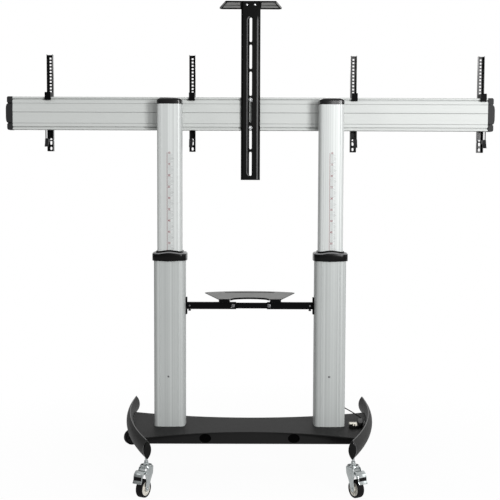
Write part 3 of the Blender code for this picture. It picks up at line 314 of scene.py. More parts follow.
@dataclass(frozen=True)
class Finish:
    """Look of one surface; the kinds below give it its grain.

    Attributes:
        name: Name of the material.
        slot: Material slot of the record that it belongs to; not used.
        tone: Colour under plain light.
        roughness: Middle roughness.
        spread: How far the grain moves the roughness.
        contrast: How far the grain moves the tone.
        drift: How far the tone moves slowly over the piece.
        dust: Amount of dust on upper faces.
        relief: Height of the grain in metres.
        metallic: Share of bare metal.
        specular: Specular level.
        coat: Clear coat weight.
    """

    name: str
    slot: str
    tone: Spot
    roughness: float = 0.45
    spread: float = 0.10
    contrast: float = 0.10
    drift: float = 0.06
    dust: float = 0.0
    relief: float = 0.00005
    metallic: float = 0.0
    specular: float = 0.5
    coat: float = 0.0

    def grain(self, tree: Tree) -> bpy.types.Node:
        """Add the grain's group.

        Args:
            tree: Wiring of the material.

        Returns:
            Node with outputs Shade and Height.
        """
        raise NotImplementedError

    def material(self) -> bpy.types.Material:
        """Give the material, built at its first use.

        Returns:
            The material.
        """
        found = bpy.data.materials.get(self.name)
        if found:
            return found
        made = bpy.data.materials.new(self.name)
        made.use_nodes = True
        made.diffuse_color = (*self.tone, 1.0)
        tree = Tree(made.node_tree)
        grain = self.grain(tree)
        tone = tree.add("ShaderNodeGroup", node_tree=Effects.surface_tone())
        for label, value in (("Colour", (*self.tone, 1.0)), ("Shade", grain.outputs["Shade"]),
                             ("Contrast", self.contrast), ("Drift", self.drift), ("Dust", self.dust)):
            tree.feed(tone.inputs[label], value)
        rough = tree.stretch(grain.outputs["Shade"], 0.0, 1.0, self.roughness - self.spread / 2,
                             self.roughness + self.spread / 2)
        bump = tree.add("ShaderNodeBump", {"Strength": 0.6, "Distance": self.relief,
                                           "Height": grain.outputs["Height"]})
        shader = tree.add("ShaderNodeBsdfPrincipled", {
            "Base Color": tone.outputs["Colour"], "Metallic": self.metallic, "Roughness": rough,
            "Specular IOR Level": self.specular, "Coat Weight": self.coat, "Coat Roughness": 0.2,
            "Normal": bump.outputs["Normal"]})
        tree.add("ShaderNodeOutputMaterial", {"Surface": shader.outputs[0]})
        return made


@dataclass(frozen=True)
class DrawnAluminium(Finish):
    """Satin anodised extrusion with die lines along one axis.

    Attributes:
        along: Axis that the die lines follow.
        broad: Share of the broad lines among the fine ones.
    """

    along: Axis = Axis.Z
    broad: float = 0.55

    def grain(self, tree: Tree) -> bpy.types.Node:
        """Add the die lines.

        Args:
            tree: Wiring of the material.

        Returns:
            Node with outputs Shade and Height.
        """
        run = self.along.point(700.0, 700.0, 0.9)
        node = tree.add("ShaderNodeGroup", node_tree=Effects.drawn_grain())
        tree.feed(node.inputs["Run"], tuple(run))
        tree.feed(node.inputs["Broad Share"], self.broad)
        return node


@dataclass(frozen=True)
class PebbledCoat(Finish):
    """Powder coat, moulded plastic or rubber with a fine pebble.

    Attributes:
        size: Pebbles in a metre.
        sharpness: Share of cell-like pebbles.
    """

    size: float = 650.0
    sharpness: float = 0.35

    def grain(self, tree: Tree) -> bpy.types.Node:
        """Add the pebbles.

        Args:
            tree: Wiring of the material.

        Returns:
            Node with outputs Shade and Height.
        """
        node = tree.add("ShaderNodeGroup", node_tree=Effects.pebble())
        tree.feed(node.inputs["Size"], self.size)
        tree.feed(node.inputs["Sharpness"], self.sharpness)
        return node


@dataclass(frozen=True)
class PlatedSteel(Finish):
    """Bright zinc plate.

    Attributes:
        size: Clouds in a metre.
    """

    size: float = 90.0

    def grain(self, tree: Tree) -> bpy.types.Node:
        """Add the clouds and scratches.

        Args:
            tree: Wiring of the material.

        Returns:
            Node with outputs Shade and Height.
        """
        node = tree.add("ShaderNodeGroup", node_tree=Effects.plated())
        tree.feed(node.inputs["Size"], self.size)
        return node


UPPER_METAL = DrawnAluminium("drawn_upper", "anodised_column", (0.575, 0.596, 0.588), roughness=0.42,
                             contrast=0.30, drift=0.03, metallic=0.08, specular=0.3, broad=0.85)
# Darker copy of the upper tubes' aluminium for the lower tubes: painted shade for the light falling off
# towards the floor.
SHADED_LOWER_METAL = replace(UPPER_METAL, name="drawn_lower_painted_shade", tone=(0.455, 0.475, 0.468))
RAIL_METAL = DrawnAluminium("drawn_rail", "anodised_rail", (0.57, 0.588, 0.575), roughness=0.48,
                            contrast=0.06, drift=0.03, metallic=0.06, relief=0.00003, specular=0.2,
                            along=Axis.X)
# Darker copy of the rail's aluminium: painted shade for the insides of the rail's front grooves.
GROOVE_SHADE_METAL = DrawnAluminium("drawn_groove_painted_shade", "anodised_rail", (0.40, 0.412, 0.404), roughness=0.55,
                              contrast=0.06, drift=0.03, relief=0.00004, specular=0.1, along=Axis.X)
DECK_PAINT = PebbledCoat("charcoal_deck", "charcoal_base_paint", (0.016, 0.016, 0.016), roughness=0.52,
                         contrast=0.22, drift=0.10, dust=0.01, relief=0.00012, specular=0.04)
# Light paint for the strip on the legs' ridges: a painted highlight where the ridge catches the light.
LEG_RIDGE_HIGHLIGHT = PebbledCoat("leg_painted_highlight", "charcoal_base_paint", (0.070, 0.070, 0.069), roughness=0.40,
                       contrast=0.3, specular=0.2)
LEG_PAINT = PebbledCoat("charcoal_leg", "charcoal_base_paint", (0.0225, 0.0225, 0.022), roughness=0.45,
                        contrast=0.25, drift=0.12, relief=0.00012, specular=0.035)
BEAM_PAINT = PebbledCoat("black_beam", "black_base_paint", (0.010, 0.010, 0.010), roughness=0.50,
                         contrast=0.2, dust=0.01, relief=0.0001, specular=0.10)
# The shelf's dark grey paint made lighter: partly its own colour, partly a painted sheen of the white
# surroundings on its broad faces.
SHELF_PAINT_AND_SHEEN = PebbledCoat("grey_shelf_painted_sheen", "dark_grey_paint", (0.290, 0.290, 0.286), roughness=0.66,
                          contrast=0.18, dust=0.03, relief=0.0001, specular=0.06)
CAMERA_PAINT = PebbledCoat("black_camera_shelf", "charcoal_mast_paint", (0.0045, 0.0045, 0.0045),
                           roughness=0.66, contrast=0.25, relief=0.0001, specular=0.02)
BAR_PAINT = PebbledCoat("black_bar", "dark_grey_paint", (0.0035, 0.0035, 0.004), roughness=0.42,
                        contrast=0.2, relief=0.0001, specular=0.02)
MAST_PAINT = PebbledCoat("black_mast", "charcoal_mast_paint", (0.0025, 0.0025, 0.0025), roughness=0.30,
                         contrast=0.2, specular=0.07)
# Light grey on the charcoal shelf's underside panels: a painted reflection of the pale floor.
PANEL_REFLECTION = PebbledCoat("grey_panel_painted_reflection", "charcoal_mast_paint", (0.36, 0.364, 0.352), roughness=0.45,
                          contrast=0.3, relief=0.0001, specular=0.2)
# Grey paint for thin strips on the black mast: painted highlights where its pressed edges catch the light.
MAST_HIGHLIGHT = PebbledCoat("mast_painted_highlight", "charcoal_mast_paint", (0.090, 0.090, 0.092), roughness=0.32,
                        contrast=0.2, relief=0.00003, specular=0.3)
HOOK_PAINT = PebbledCoat("black_hook", "black_arm_paint", (0.004, 0.004, 0.0045), roughness=0.34,
                         contrast=0.2, specular=0.012)
ARM_PAINT = PebbledCoat("black_arm", "black_arm_paint", (0.004, 0.004, 0.0045), roughness=0.22,
                        contrast=0.2, relief=0.00004, specular=0.09)
LATCH_PLASTIC = PebbledCoat("black_latch", "black_latch_plastic", (0.009, 0.009, 0.010), roughness=0.42,
                            contrast=0.15, size=900.0, specular=0.2)
CAP_PLASTIC = PebbledCoat("black_cap", "black_cap_plastic", (0.008, 0.008, 0.008), roughness=0.20,
                          contrast=0.18, size=800.0, relief=0.00004, specular=0.22)
COLLAR_PLASTIC = PebbledCoat("black_collar", "black_cap_plastic", (0.004, 0.004, 0.004), roughness=0.24,
                             contrast=0.15, size=800.0, relief=0.00004, specular=0.09)
# Light grey for the collar's sloped shoulder: a painted highlight along it.
COLLAR_HIGHLIGHT = PebbledCoat("collar_painted_highlight", "black_cap_plastic", (0.19, 0.19, 0.195), roughness=0.35,
                          contrast=0.15, size=800.0, relief=0.00003, specular=0.3)
CAP_GREY = PebbledCoat("grey_end_cap", "black_cap_plastic", (0.026, 0.026, 0.027), roughness=0.45,
                       contrast=0.16, size=800.0, relief=0.00008, specular=0.10)
# Near-black rubber for the cable holes' rings and leaves: painted shade where the holes look dark.
HOLE_RUBBER_AND_SHADE = PebbledCoat("hole_rubber_and_shade", "black_cap_plastic", (0.0015, 0.0015, 0.0015), roughness=0.6,
                          contrast=0.2, size=900.0, specular=0.01)
TIP_PLASTIC = PebbledCoat("black_leg_tip", "black_cap_plastic", (0.003, 0.003, 0.003), roughness=0.16,
                          contrast=0.15, size=900.0, relief=0.00003, specular=0.14)
GLIDE_PLASTIC = PebbledCoat("glide", "glide_plastic", (0.05, 0.05, 0.05), roughness=0.5, contrast=0.12,
                            size=900.0)
ZINC = PlatedSteel("zinc_fixings", "zinc_hardware", (0.62, 0.63, 0.64), roughness=0.28, spread=0.14,
                   contrast=0.14, drift=0.08, metallic=1.0, relief=0.00002)
SCREW_STEEL = PlatedSteel("screw_steel", "zinc_hardware", (0.15, 0.15, 0.155), roughness=0.36, spread=0.14,
                          contrast=0.2, drift=0.08, metallic=1.0, relief=0.00002)
CASTOR_ZINC = PlatedSteel("zinc_castor", "zinc_castor_steel", (0.46, 0.49, 0.49), roughness=0.20, spread=0.14,
                          contrast=0.30, drift=0.16, metallic=1.0, relief=0.00003)
HUB_PLASTIC = PebbledCoat("cream_hub", "cream_hub_plastic", (0.70, 0.675, 0.615), roughness=0.38,
                          drift=0.08, size=500.0)
HUB_DARK = PebbledCoat("dark_hub", "black_tyre", (0.010, 0.010, 0.010), roughness=0.42, contrast=0.15,
                       size=500.0, specular=0.2)
TYRE_RUBBER = PebbledCoat("tyre", "black_tyre", (0.006, 0.0055, 0.006), roughness=0.55, contrast=0.25,
                          size=900.0, dust=0.015, relief=0.00010, specular=0.08)
CORD_SHEATH = PebbledCoat("sheath", "cord_sheath", (0.006, 0.006, 0.006), roughness=0.5, contrast=0.15,
                          size=1200.0, specular=0.08)
PLUG_BLACK = PebbledCoat("plug_black", "plug_plastic", (0.005, 0.005, 0.005), roughness=0.42, contrast=0.15,
                         size=900.0, specular=0.06)
PLUG_CREAM = PebbledCoat("plug_cream", "plug_plastic", (0.72, 0.69, 0.60), roughness=0.36, contrast=0.08,
                         size=700.0)
RED_INK = PebbledCoat("red_print", "anodised_column", (0.19, 0.012, 0.024), roughness=0.5, contrast=0.2,
                      size=2500.0, relief=0.00001)
GREY_INK = PebbledCoat("grey_print", "anodised_column", (0.10, 0.102, 0.105), roughness=0.5, contrast=0.2,
                       size=2500.0, relief=0.00001)


def only(kind: type, geometry: Iterable[object]) -> list:
    """Pick one kind of element out of an operator's result.

    Args:
        kind: BMVert, BMEdge or BMFace.
        geometry: Vertices, edges and faces together.

    Returns:
        The elements of that kind.
    """
    return [item for item in geometry if isinstance(item, kind)]


def draw_out(bm: BMesh, faces: Iterable[BMFace], travel: Sequence[float]) -> list[BMFace]:
    """Extrude faces along a vector.

    Args:
        bm: Mesh that holds them.
        faces: Faces to draw out.
        travel: Way that they go.

    Returns:
        The faces at the far end.
    """
    drawn = bmesh.ops.extrude_face_region(bm, geom=list(faces))["geom"]
    bmesh.ops.translate(bm, vec=travel, verts=only(BMVert, drawn))
    return only(BMFace, drawn)


def round_off(bm: BMesh, verts: Sequence[BMVert], radius: float, segments: int) -> None:
    """Round the corners of a flat outline.

    Args:
        bm: Mesh that holds it.
        verts: Corners to round.
        radius: Radius of the round.
        segments: Steps in each round.
    """
    bmesh.ops.bevel(bm, geom=list(verts), offset=radius, offset_type="OFFSET", affect="VERTICES",
                    segments=segments, profile=0.5, material=-1, clamp_overlap=True)


def ease(bm: BMesh, width: float, segments: int = 2, limit: float = 0.6) -> BMesh:
    """Round the edges where two faces meet at an angle.

    Args:
        bm: Mesh to ease.
        width: Width of the round.
        segments: Steps in each round.
        limit: Least angle that counts, in radians.

    Returns:
        The same mesh.
    """
    bmesh.ops.recalc_face_normals(bm, faces=bm.faces)
    edges = [edge for edge in bm.edges if len(edge.link_faces) == 2 and edge.calc_face_angle(0.0) > limit]
    bmesh.ops.bevel(bm, geom=edges, offset=width, offset_type="OFFSET", affect="EDGES", segments=segments,
                    profile=0.5, material=-1, clamp_overlap=True)
    return bm


def slab(points: Sequence[Flat], start: float, end: float, axis: Axis = Axis.Z, corner: float = 0.0,
         segments: int = 3) -> BMesh:
    """Draw an outline out into a solid.

    Args:
        points: Corners of the outline.
        start: Depth where it starts.
        end: Depth where it ends.
        axis: Axis that it is drawn along.
        corner: Radius of its corners.
        segments: Steps in each corner.

    Returns:
        The solid.
    """
    bm = bmesh.new()
    verts = [bm.verts.new(axis.point(a, b, start)) for a, b in points]
    bm.faces.new(verts)
    if corner > 0.0:
        round_off(bm, verts, corner, segments)
    draw_out(bm, list(bm.faces), axis.point(0.0, 0.0, end - start))
    return bm


def block(low: Spot, high: Spot) -> BMesh:
    """Make a box between two corners.

    Args:
        low: Lowest corner.
        high: Highest corner.

    Returns:
        The box.
    """
    bm = bmesh.new()
    size = Vector(high) - Vector(low)
    spot = Matrix.Translation((Vector(low) + Vector(high)) / 2) @ Matrix.Diagonal((*size, 1.0))
    bmesh.ops.create_cube(bm, size=1.0, matrix=spot)
    return bm


def turned(profile: Sequence[Flat], spot: Matrix, steps: int = 32, ring: bool = False) -> BMesh:
    """Turn a profile about its own Z axis.

    Args:
        profile: Radius and height of each point.
        spot: Place and direction of the axis.
        steps: Steps round the axis.
        ring: Whether the profile's ends join, as in a tyre.

    Returns:
        The turned shape.
    """
    bm = bmesh.new()
    verts = [bm.verts.new((radius, 0.0, height)) for radius, height in profile]
    edges = [bm.edges.new(pair) for pair in zip(verts, verts[1:])]
    if ring:
        edges.append(bm.edges.new((verts[-1], verts[0])))
    bmesh.ops.spin(bm, geom=[*verts, *edges], cent=(0.0, 0.0, 0.0), axis=(0.0, 0.0, 1.0),
                   dvec=(0.0, 0.0, 0.0), angle=2.0 * math.pi, steps=steps, use_merge=True)
    bmesh.ops.remove_doubles(bm, verts=bm.verts, dist=1e-6)
    bmesh.ops.recalc_face_normals(bm, faces=bm.faces)
    bmesh.ops.transform(bm, matrix=spot, verts=bm.verts)
    return bm


def disc(spot: Matrix, radius: float, start: float, end: float, steps: int) -> BMesh:
    """Make a plain washer, pin or axle.

    Args:
        spot: Frame of its seat, Z along its axis.
        radius: Its radius.
        start: Height where it starts.
        end: Height where it ends.
        steps: Steps round the axis.

    Returns:
        The disc.
    """
    return turned(((0.0, start), (radius, start), (radius, end), (0.0, end)), spot, steps)


def two_sided(flank: Sequence[Flat]) -> list[Flat]:
    """Give a profile whose lower half mirrors its upper one.

    Args:
        flank: Radius and height of each point of the upper half, from the inside out.

    Returns:
        The whole profile.
    """
    return [*((radius, -height) for radius, height in flank), *reversed(flank)]


def joined(first: BMesh, *others: BMesh) -> BMesh:
    """Put several shapes in one mesh.

    Args:
        first: Mesh that takes the others in.
        others: Meshes that are used up.

    Returns:
        The first mesh.
    """
    for other in others:
        carrier = bpy.data.meshes.new("carrier")
        other.to_mesh(carrier)
        other.free()
        first.from_mesh(carrier)
        bpy.data.meshes.remove(carrier)
    return first


def moved(bm: BMesh, matrix: Matrix) -> BMesh:
    """Carry a mesh to its place.

    Args:
        bm: Mesh to carry.
        matrix: Place and turn.

    Returns:
        The same mesh.
    """
    bmesh.ops.transform(bm, matrix=matrix, verts=bm.verts)
    return bm


def facing(spot: Spot, axis: str = "-Y") -> Matrix:
    """Give the frame of something turned that points along an axis.

    Args:
        spot: Where it stands.
        axis: Where its own Z axis points.

    Returns:
        The frame.
    """
    turns = {"-Y": Matrix.Rotation(math.pi / 2, 4, "X"), "+Y": Matrix.Rotation(-math.pi / 2, 4, "X"),
             "+X": Matrix.Rotation(math.pi / 2, 4, "Y"), "-X": Matrix.Rotation(-math.pi / 2, 4, "Y"),
             "+Z": Matrix(), "-Z": Matrix.Rotation(math.pi, 4, "X")}
    return Matrix.Translation(spot) @ turns[axis]


def socket_screw(spot: Matrix, radius: float, height: float) -> BMesh:
    """Make a domed screw head with a hexagon socket.

    Args:
        spot: Frame of its seat, Z outwards.
        radius: Radius of the head.
        height: Height of the head.

    Returns:
        The head.
    """
    profile = ((0.0, -0.0006), (radius, -0.0006), (radius, 0.25 * height), (0.86 * radius, 0.7 * height),
               (0.6 * radius, height), (0.42 * radius, height))
    bm = turned(profile, Matrix(), 24)
    rim = [edge for edge in bm.edges if edge.is_boundary]
    bottom = bmesh.ops.extrude_edge_only(bm, edges=rim)["geom"]
    bmesh.ops.translate(bm, vec=(0.0, 0.0, -0.6 * height), verts=only(BMVert, bottom))
    bmesh.ops.holes_fill(bm, edges=[edge for edge in bm.edges if edge.is_boundary], sides=0)
    return moved(bm, spot)


def hexagon(spot: Matrix, radius: float, height: float) -> BMesh:
    """Make a hexagon nut or bolt head with eased corners.

    Args:
        spot: Frame of its seat, Z outwards.
        radius: Radius over its corners.
        height: Height of the head.

    Returns:
        The head.
    """
    bm = bmesh.new()
    bmesh.ops.create_cone(bm, cap_ends=True, cap_tris=False, segments=6, radius1=radius, radius2=radius,
                          depth=height, matrix=Matrix.Translation((0.0, 0.0, height / 2)))
    return moved(ease(bm, 0.08 * radius, 2), spot)


def placed(name: str, data: bpy.types.ID) -> bpy.types.Object:
    """Put a new object in the scene.

    Args:
        name: Its name.
        data: Its mesh, curve, lamp or camera.

    Returns:
        The object.
    """
    item = bpy.data.objects.new(name, data)
    bpy.context.scene.collection.objects.link(item)
    return item


@dataclass
class Bench:
    """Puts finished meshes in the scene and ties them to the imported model.

    Attributes:
        nodes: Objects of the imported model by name.
    """

    nodes: dict[str, bpy.types.Object]

    def put(self, name: str, bm: BMesh, finish: Finish, body: str, replaces: Sequence[str] = (),
            edge: float = 0.0, smooth: float = 32.0) -> bpy.types.Object:
        """Turn a mesh into a piece that rides on a body.

        Args:
            name: Name of the piece.
            bm: Its mesh, which is used up.
            finish: Its finish.
            body: Body that it rides on.
            replaces: Solids that it stands for.
            edge: Width of the round on its edges.
            smooth: Angle in degrees under which faces shade as one.

        Returns:
            The piece.
        """
        bmesh.ops.recalc_face_normals(bm, faces=bm.faces)
        mesh = bpy.data.meshes.new(name)
        bm.to_mesh(mesh)
        bm.free()
        mesh.shade_smooth()
        mesh.set_sharp_from_angle(angle=math.radians(smooth))
        mesh.materials.append(finish.material())
        piece = placed(name, mesh)
        if edge > 0.0:
            rounding = piece.modifiers.new("edge", "BEVEL")
            rounding.width = edge
            rounding.segments = 2
            rounding.limit_method = "ANGLE"
            rounding.angle_limit = math.radians(32.0)
            level = piece.modifiers.new("flat_faces", "WEIGHTED_NORMAL")
            level.weight = 100
            level.keep_sharp = True
        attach(piece, body)
        if replaces:
            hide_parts(*replaces)
        LOG.info("%s on %s", name, body)
        return piece

    def trace(self, node: str) -> BMesh:
        """Copy a solid's mesh, merged and with its flat faces whole.

        Args:
            node: Name of the solid.

        Returns:
            The copy.
        """
        bm = bmesh.new()
        bm.from_mesh(self.nodes[node].data)
        bmesh.ops.remove_doubles(bm, verts=bm.verts, dist=2e-6)
        bmesh.ops.dissolve_limit(bm, angle_limit=math.radians(0.3), use_dissolve_boundaries=False,
                                 verts=list(bm.verts), edges=list(bm.edges))
        return bm

    def skin(self, node: str, finish: Finish, body: str, edge: float = 0.0005) -> bpy.types.Object:
        """Stand an eased copy in for a solid.

        Args:
            node: Name of the solid.
            finish: Its finish.
            body: Body that it rides on.
            edge: Width of the round on its edges.

        Returns:
            The piece.
        """
        return self.put(node + "_skin", self.trace(node), finish, body, (node,), edge)

    def dress(self, node: str, finish: Finish) -> None:
        """Give a solid that stays in sight its finish.

        Args:
            node: Name of the solid.
            finish: Its finish.
        """
        mesh = self.nodes[node].data
        mesh.materials.clear()
        mesh.materials.append(finish.material())
        LOG.info("%s dressed", node)


@dataclass
class PowerLead:
    """Short lead from the right column to its plug on the deck.

    Attributes:
        bench: Where its pieces go.
        radius: Radius of the cord.
        step: Spacing of the points along the cord.
        gland_spot: Seat of the strain relief on the column's rear.
        gland_length: Length of the strain relief.
        deck: Height that the plug lies at.
        plug_top: Height of the plug's upper face.
        boot_plan: Outline of the plug's moulded boot.
        body_plan: Outline of the connector's body.
        shell_plan: Outline of the connector's cream shell.
        window_plans: Nearest left and farthest right corner of each opening in the shell.
        route: Points that the cord passes.
    """

    bench: Bench
    radius: float = 0.0025
    step: float = 0.0095
    gland_spot: Spot = (0.396, 0.0653, 0.286)
    gland_length: float = 0.022
    deck: float = 0.2033
    plug_top: float = 0.2273
    boot_plan: tuple[Flat, ...] = (
        (0.4957, 0.0100), (0.5163, 0.0100), (0.5088, -0.064), (0.5008, -0.0878), (0.4882, -0.0895),
        (0.4882, -0.0585), (0.4902, -0.0100))
    body_plan: tuple[Flat, ...] = (
        (0.4450, -0.0935), (0.4880, -0.0895), (0.4880, -0.0612), (0.4450, -0.0645))
    shell_plan: tuple[Flat, ...] = (
        (0.4455, -0.0930), (0.4800, -0.0898), (0.4800, -0.0622), (0.4455, -0.0650))
    window_plans: tuple[tuple[Flat, Flat], ...] = (
        ((0.4452, -0.0940), (0.4610, -0.0860)), ((0.4665, -0.0925), (0.4705, -0.0855)))
    route: tuple[Spot, ...] = (
        (0.396, 0.0876, 0.2860), (0.396, 0.1020, 0.2856), (0.408, 0.121, 0.2760), (0.434, 0.126, 0.2540),
        (0.468, 0.118, 0.2360), (0.498, 0.103, 0.2200), (0.518, 0.084, 0.2090), (0.523, 0.064, 0.2066),
        (0.515, 0.044, 0.2105), (0.506, 0.026, 0.2150), (0.506, 0.0103, 0.2150), (0.5040, -0.018, 0.2150),
        (0.4990, -0.058, 0.2150))

    def walked(self) -> list[Vector]:
        """Walk a smooth curve through the route.

        Returns:
            Points at about the spacing.
        """
        points = [Vector(spot) for spot in self.route]
        ends = [2.0 * points[0] - points[1], *points, 2.0 * points[-1] - points[-2]]
        line = [points[0]]
        for a, b, c, d in zip(ends, ends[1:], ends[2:], ends[3:]):
            count = max(1, round((c - b).length / self.step))
            for i in range(1, count + 1):
                t = i / count
                line.append(0.5 * (2.0 * b + (c - a) * t + (2.0 * a - 5.0 * b + 4.0 * c - d) * t * t
                                   + (3.0 * b - a - 3.0 * c + d) * t ** 3))
        return line

    def cord(self) -> tuple[bpy.types.Object, float]:
        """Make the cord.

        Returns:
            The cord and its length.
        """
        line = self.walked()
        data = bpy.data.curves.new("power_cord_sheath", "CURVE")
        data.dimensions = "3D"
        data.bevel_depth = self.radius
        data.bevel_resolution = 4
        data.use_fill_caps = True
        spline = data.splines.new("BEZIER")
        spline.bezier_points.add(len(line) - 1)
        for point, spot in zip(spline.bezier_points, line):
            point.co = spot
            point.handle_left_type = point.handle_right_type = "AUTO"
        spline.resolution_u = 6
        data.materials.append(CORD_SHEATH.material())
        piece = placed("power_cord_sheath", data)
        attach(piece, "base")
        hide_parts("power_cord")
        return piece, sum((b - a).length for a, b in zip(line, line[1:]))

    def gland(self) -> bpy.types.Object:
        """Make the ribbed strain relief on the column's rear face.

        Returns:
            The piece.
        """
        profile = [(0.0, 0.0), (0.009, 0.0), (0.009, 0.0032), (0.0082, 0.0040), (0.0064, 0.0046)]
        ribs, end = 5, self.gland_length
        for i in range(ribs):
            height = 0.0052 + (end - 0.0062) * i / ribs
            radius = 0.0063 - 0.0017 * i / ribs
            profile += [(radius, height), (radius, height + 0.0018), (radius - 0.0009, height + 0.0021),
                        (radius - 0.0009, height + 0.0029)]
        profile += [(0.0041, end - 0.0008), (0.0036, end), (0.0, end)]
        return self.bench.put("strain_relief", turned(profile, facing(self.gland_spot, "+Y"), 28), PLUG_BLACK,
                              "base", ("cable_gland",), smooth=50.0)

    def plug(self) -> list[bpy.types.Object]:
        """Make the moulded boot, the connector body and its cream shell.

        Returns:
            The pieces.
        """
        boot = ease(slab(self.boot_plan, self.deck, self.plug_top - 0.0004, corner=0.004), 0.0045, 3)
        ribs, pitch, half = 5, 0.0075, 0.0016
        for i in range(ribs):
            y = 0.004 - pitch * i
            rib = block((0.4940 - 0.0006 * i, y - half, self.deck + 0.0012),
                        (0.5168 - 0.0007 * i, y + half, self.plug_top - 0.0010))
            joined(boot, ease(rib, 0.0013, 2))
        middle = 0.5 * (self.deck + self.plug_top) - 0.001
        body = slab(self.body_plan, self.deck, middle, corner=0.002)
        shell = slab(self.shell_plan, middle, self.plug_top - 0.0006, corner=0.003)
        windows = bmesh.new()
        for low, high in self.window_plans:
            joined(windows, ease(block((*low, middle - 0.0010), (*high, self.plug_top - 0.0042)), 0.0008, 2))
        put = self.bench.put
        return [put("plug_boot", boot, PLUG_BLACK, "base", ("cord_plug",)),
                put("plug_body", ease(body, 0.0012), PLUG_BLACK, "base"),
                put("plug_shell", ease(shell, 0.0022, 3), PLUG_CREAM, "base"),
                put("plug_windows", windows, PLUG_BLACK, "base")]

    def build(self) -> None:
        """Make the lead and say what it is."""
        cord, length = self.cord()
        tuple(self.route[0])
        self.gland()
        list(self.plug())
        LOG.info("cord %.3f m", length)


@dataclass
class RollingBase:
    """Deck, tray beam and the two bowed legs.

    Attributes:
        bench: Where its pieces go.
        arc_x: Distance of a leg's arc centre behind the middle.
        arc_y: Y of a leg's arc centre.
        arc_radius: Radius of a leg's plan arc.
        reach: How far a leg reaches to the front and the rear.
        height: Height of a leg's section.
        thickness: Thickness of a leg's section.
        middle: Height of a leg's middle.
        tip: Length of a leg's end cap.
        tip_swell: Growth of the end caps' section over the leg's.
        tip_round: Radius of the end caps' outer edge.
        crest_band: Inner and outer edge of the worn line, from the leg's middle.
        crest_rise: Lower and upper face of the worn line, from the leg's top.
        hole_x: Place of the cable holes.
        hole_size: Width and height of the cable holes.
    """

    bench: Bench
    arc_x: float = 1.455
    arc_y: float = 0.312
    arc_radius: float = 2.020
    reach: float = 0.437
    height: float = 0.080
    thickness: float = 0.034
    middle: float = 0.196
    tip: float = 0.011
    tip_swell: float = 1.015
    tip_round: float = 0.0085
    # crest_band: Inner and outer edge of the painted highlight strip, from the leg's middle.
    crest_band: Flat = (-0.0020, 0.0012)
    # crest_rise: Lower and upper face of the painted highlight strip, from the leg's top.
    crest_rise: Flat = (-0.0034, 0.0002)
    hole_x: float = 0.195
    hole_size: Flat = (0.048, 0.036)

    def angle(self, y: float) -> float:
        """Give the angle of a point of a leg's arc about the arc's centre.

        Args:
            y: Y of the point.

        Returns:
            The angle in radians.
        """
        return math.asin((y - self.arc_y) / self.arc_radius)

    def swept(self, side: Side, start: float, end: float, steps: int, swell: float = 1.0) -> BMesh:
        """Sweep the pointed oval section along a leg's arc.

        Args:
            side: Which leg.
            start: Angle where the sweep starts.
            end: Angle where it ends.
            steps: Steps along it.
            swell: Growth of the section.

        Returns:
            The swept solid.
        """
        bm = bmesh.new()
        half, rise = swell * self.height / 2, swell * self.thickness / 2
        bow = (half * half + rise * rise) / (2.0 * rise)
        sweep = 2.0 * math.asin(half / bow)
        for way in (1, -1):
            foot = bm.verts.new((self.arc_radius, 0.0, self.middle - half))
            centre = (self.arc_radius + way * (rise - bow), 0.0, self.middle)
            bmesh.ops.spin(bm, geom=[foot], cent=centre, axis=(0.0, 1.0, 0.0), dvec=(0.0, 0.0, 0.0),
                           angle=-way * sweep, steps=14)
        bmesh.ops.remove_doubles(bm, verts=bm.verts, dist=1e-5)
        section = bmesh.ops.edgeloop_fill(bm, edges=bm.edges)["faces"]
        bmesh.ops.rotate(bm, verts=bm.verts, cent=(0.0, 0.0, 0.0), matrix=Matrix.Rotation(start, 3, "Z"))
        bmesh.ops.spin(bm, geom=section, cent=(0.0, 0.0, 0.0), axis=(0.0, 0.0, 1.0), dvec=(0.0, 0.0, 0.0),
                       angle=end - start, steps=steps)
        bmesh.ops.translate(bm, verts=bm.verts, vec=(-self.arc_x, self.arc_y, 0.0))
        bmesh.ops.scale(bm, verts=bm.verts, vec=(side.value, 1.0, 1.0))
        bmesh.ops.remove_doubles(bm, verts=bm.verts, dist=1e-6)
        bmesh.ops.recalc_face_normals(bm, faces=bm.faces)
        return bm

    def leg(self, side: Side) -> None:
        """Make one leg with its two end caps.

        Args:
            side: Which leg.
        """
        front, rear = self.angle(-self.reach), self.angle(self.reach)
        tip = self.tip / self.arc_radius
        name = side.label + "_leg"
        body = self.swept(side, front + tip, rear - tip, 44)
        self.bench.put(name + "_bow", body, LEG_PAINT, "base", (name,), edge=0.0011)
        for label, start, end in (("front", front, front + tip), ("rear", rear, rear - tip)):
            cap = self.swept(side, end, start, 2, self.tip_swell)
            ends = [face for face in cap.faces if len(face.verts) > 4]
            pick = min if label == "front" else max
            outer = pick(ends, key=lambda face: face.calc_center_median().y)
            bmesh.ops.bevel(cap, geom=list(outer.edges), offset=self.tip_round, offset_type="OFFSET",
                            affect="EDGES", segments=5, profile=0.5, material=-1, clamp_overlap=True)
            self.bench.put(f"{name}_{label}_cap", cap, TIP_PLASTIC, "base", smooth=40.0)

    def crest(self, side: Side) -> None:
        """Make the painted highlight along a leg's upper edge: a light strip standing in for the light that
        the ridge catches.

        Args:
            side: Which leg.
        """
        inset = (self.tip + 0.001) / self.arc_radius
        start, end = self.angle(-self.reach) + inset, self.angle(self.reach) - inset
        steps = 40
        turns = [start + (end - start) * i / steps for i in range(steps + 1)]
        inner, outer = (self.arc_radius + edge for edge in self.crest_band)
        ring = [(outer * math.cos(turn), outer * math.sin(turn)) for turn in turns]
        ring += [(inner * math.cos(turn), inner * math.sin(turn)) for turn in reversed(turns)]
        plan = [(side.value * (x - self.arc_x), y + self.arc_y) for x, y in ring]
        low, high = (self.middle + self.height / 2 + rise for rise in self.crest_rise)
        self.bench.put(side.label + "_leg_ridge_highlight", slab(plan, low, high), LEG_RIDGE_HIGHLIGHT, "base")

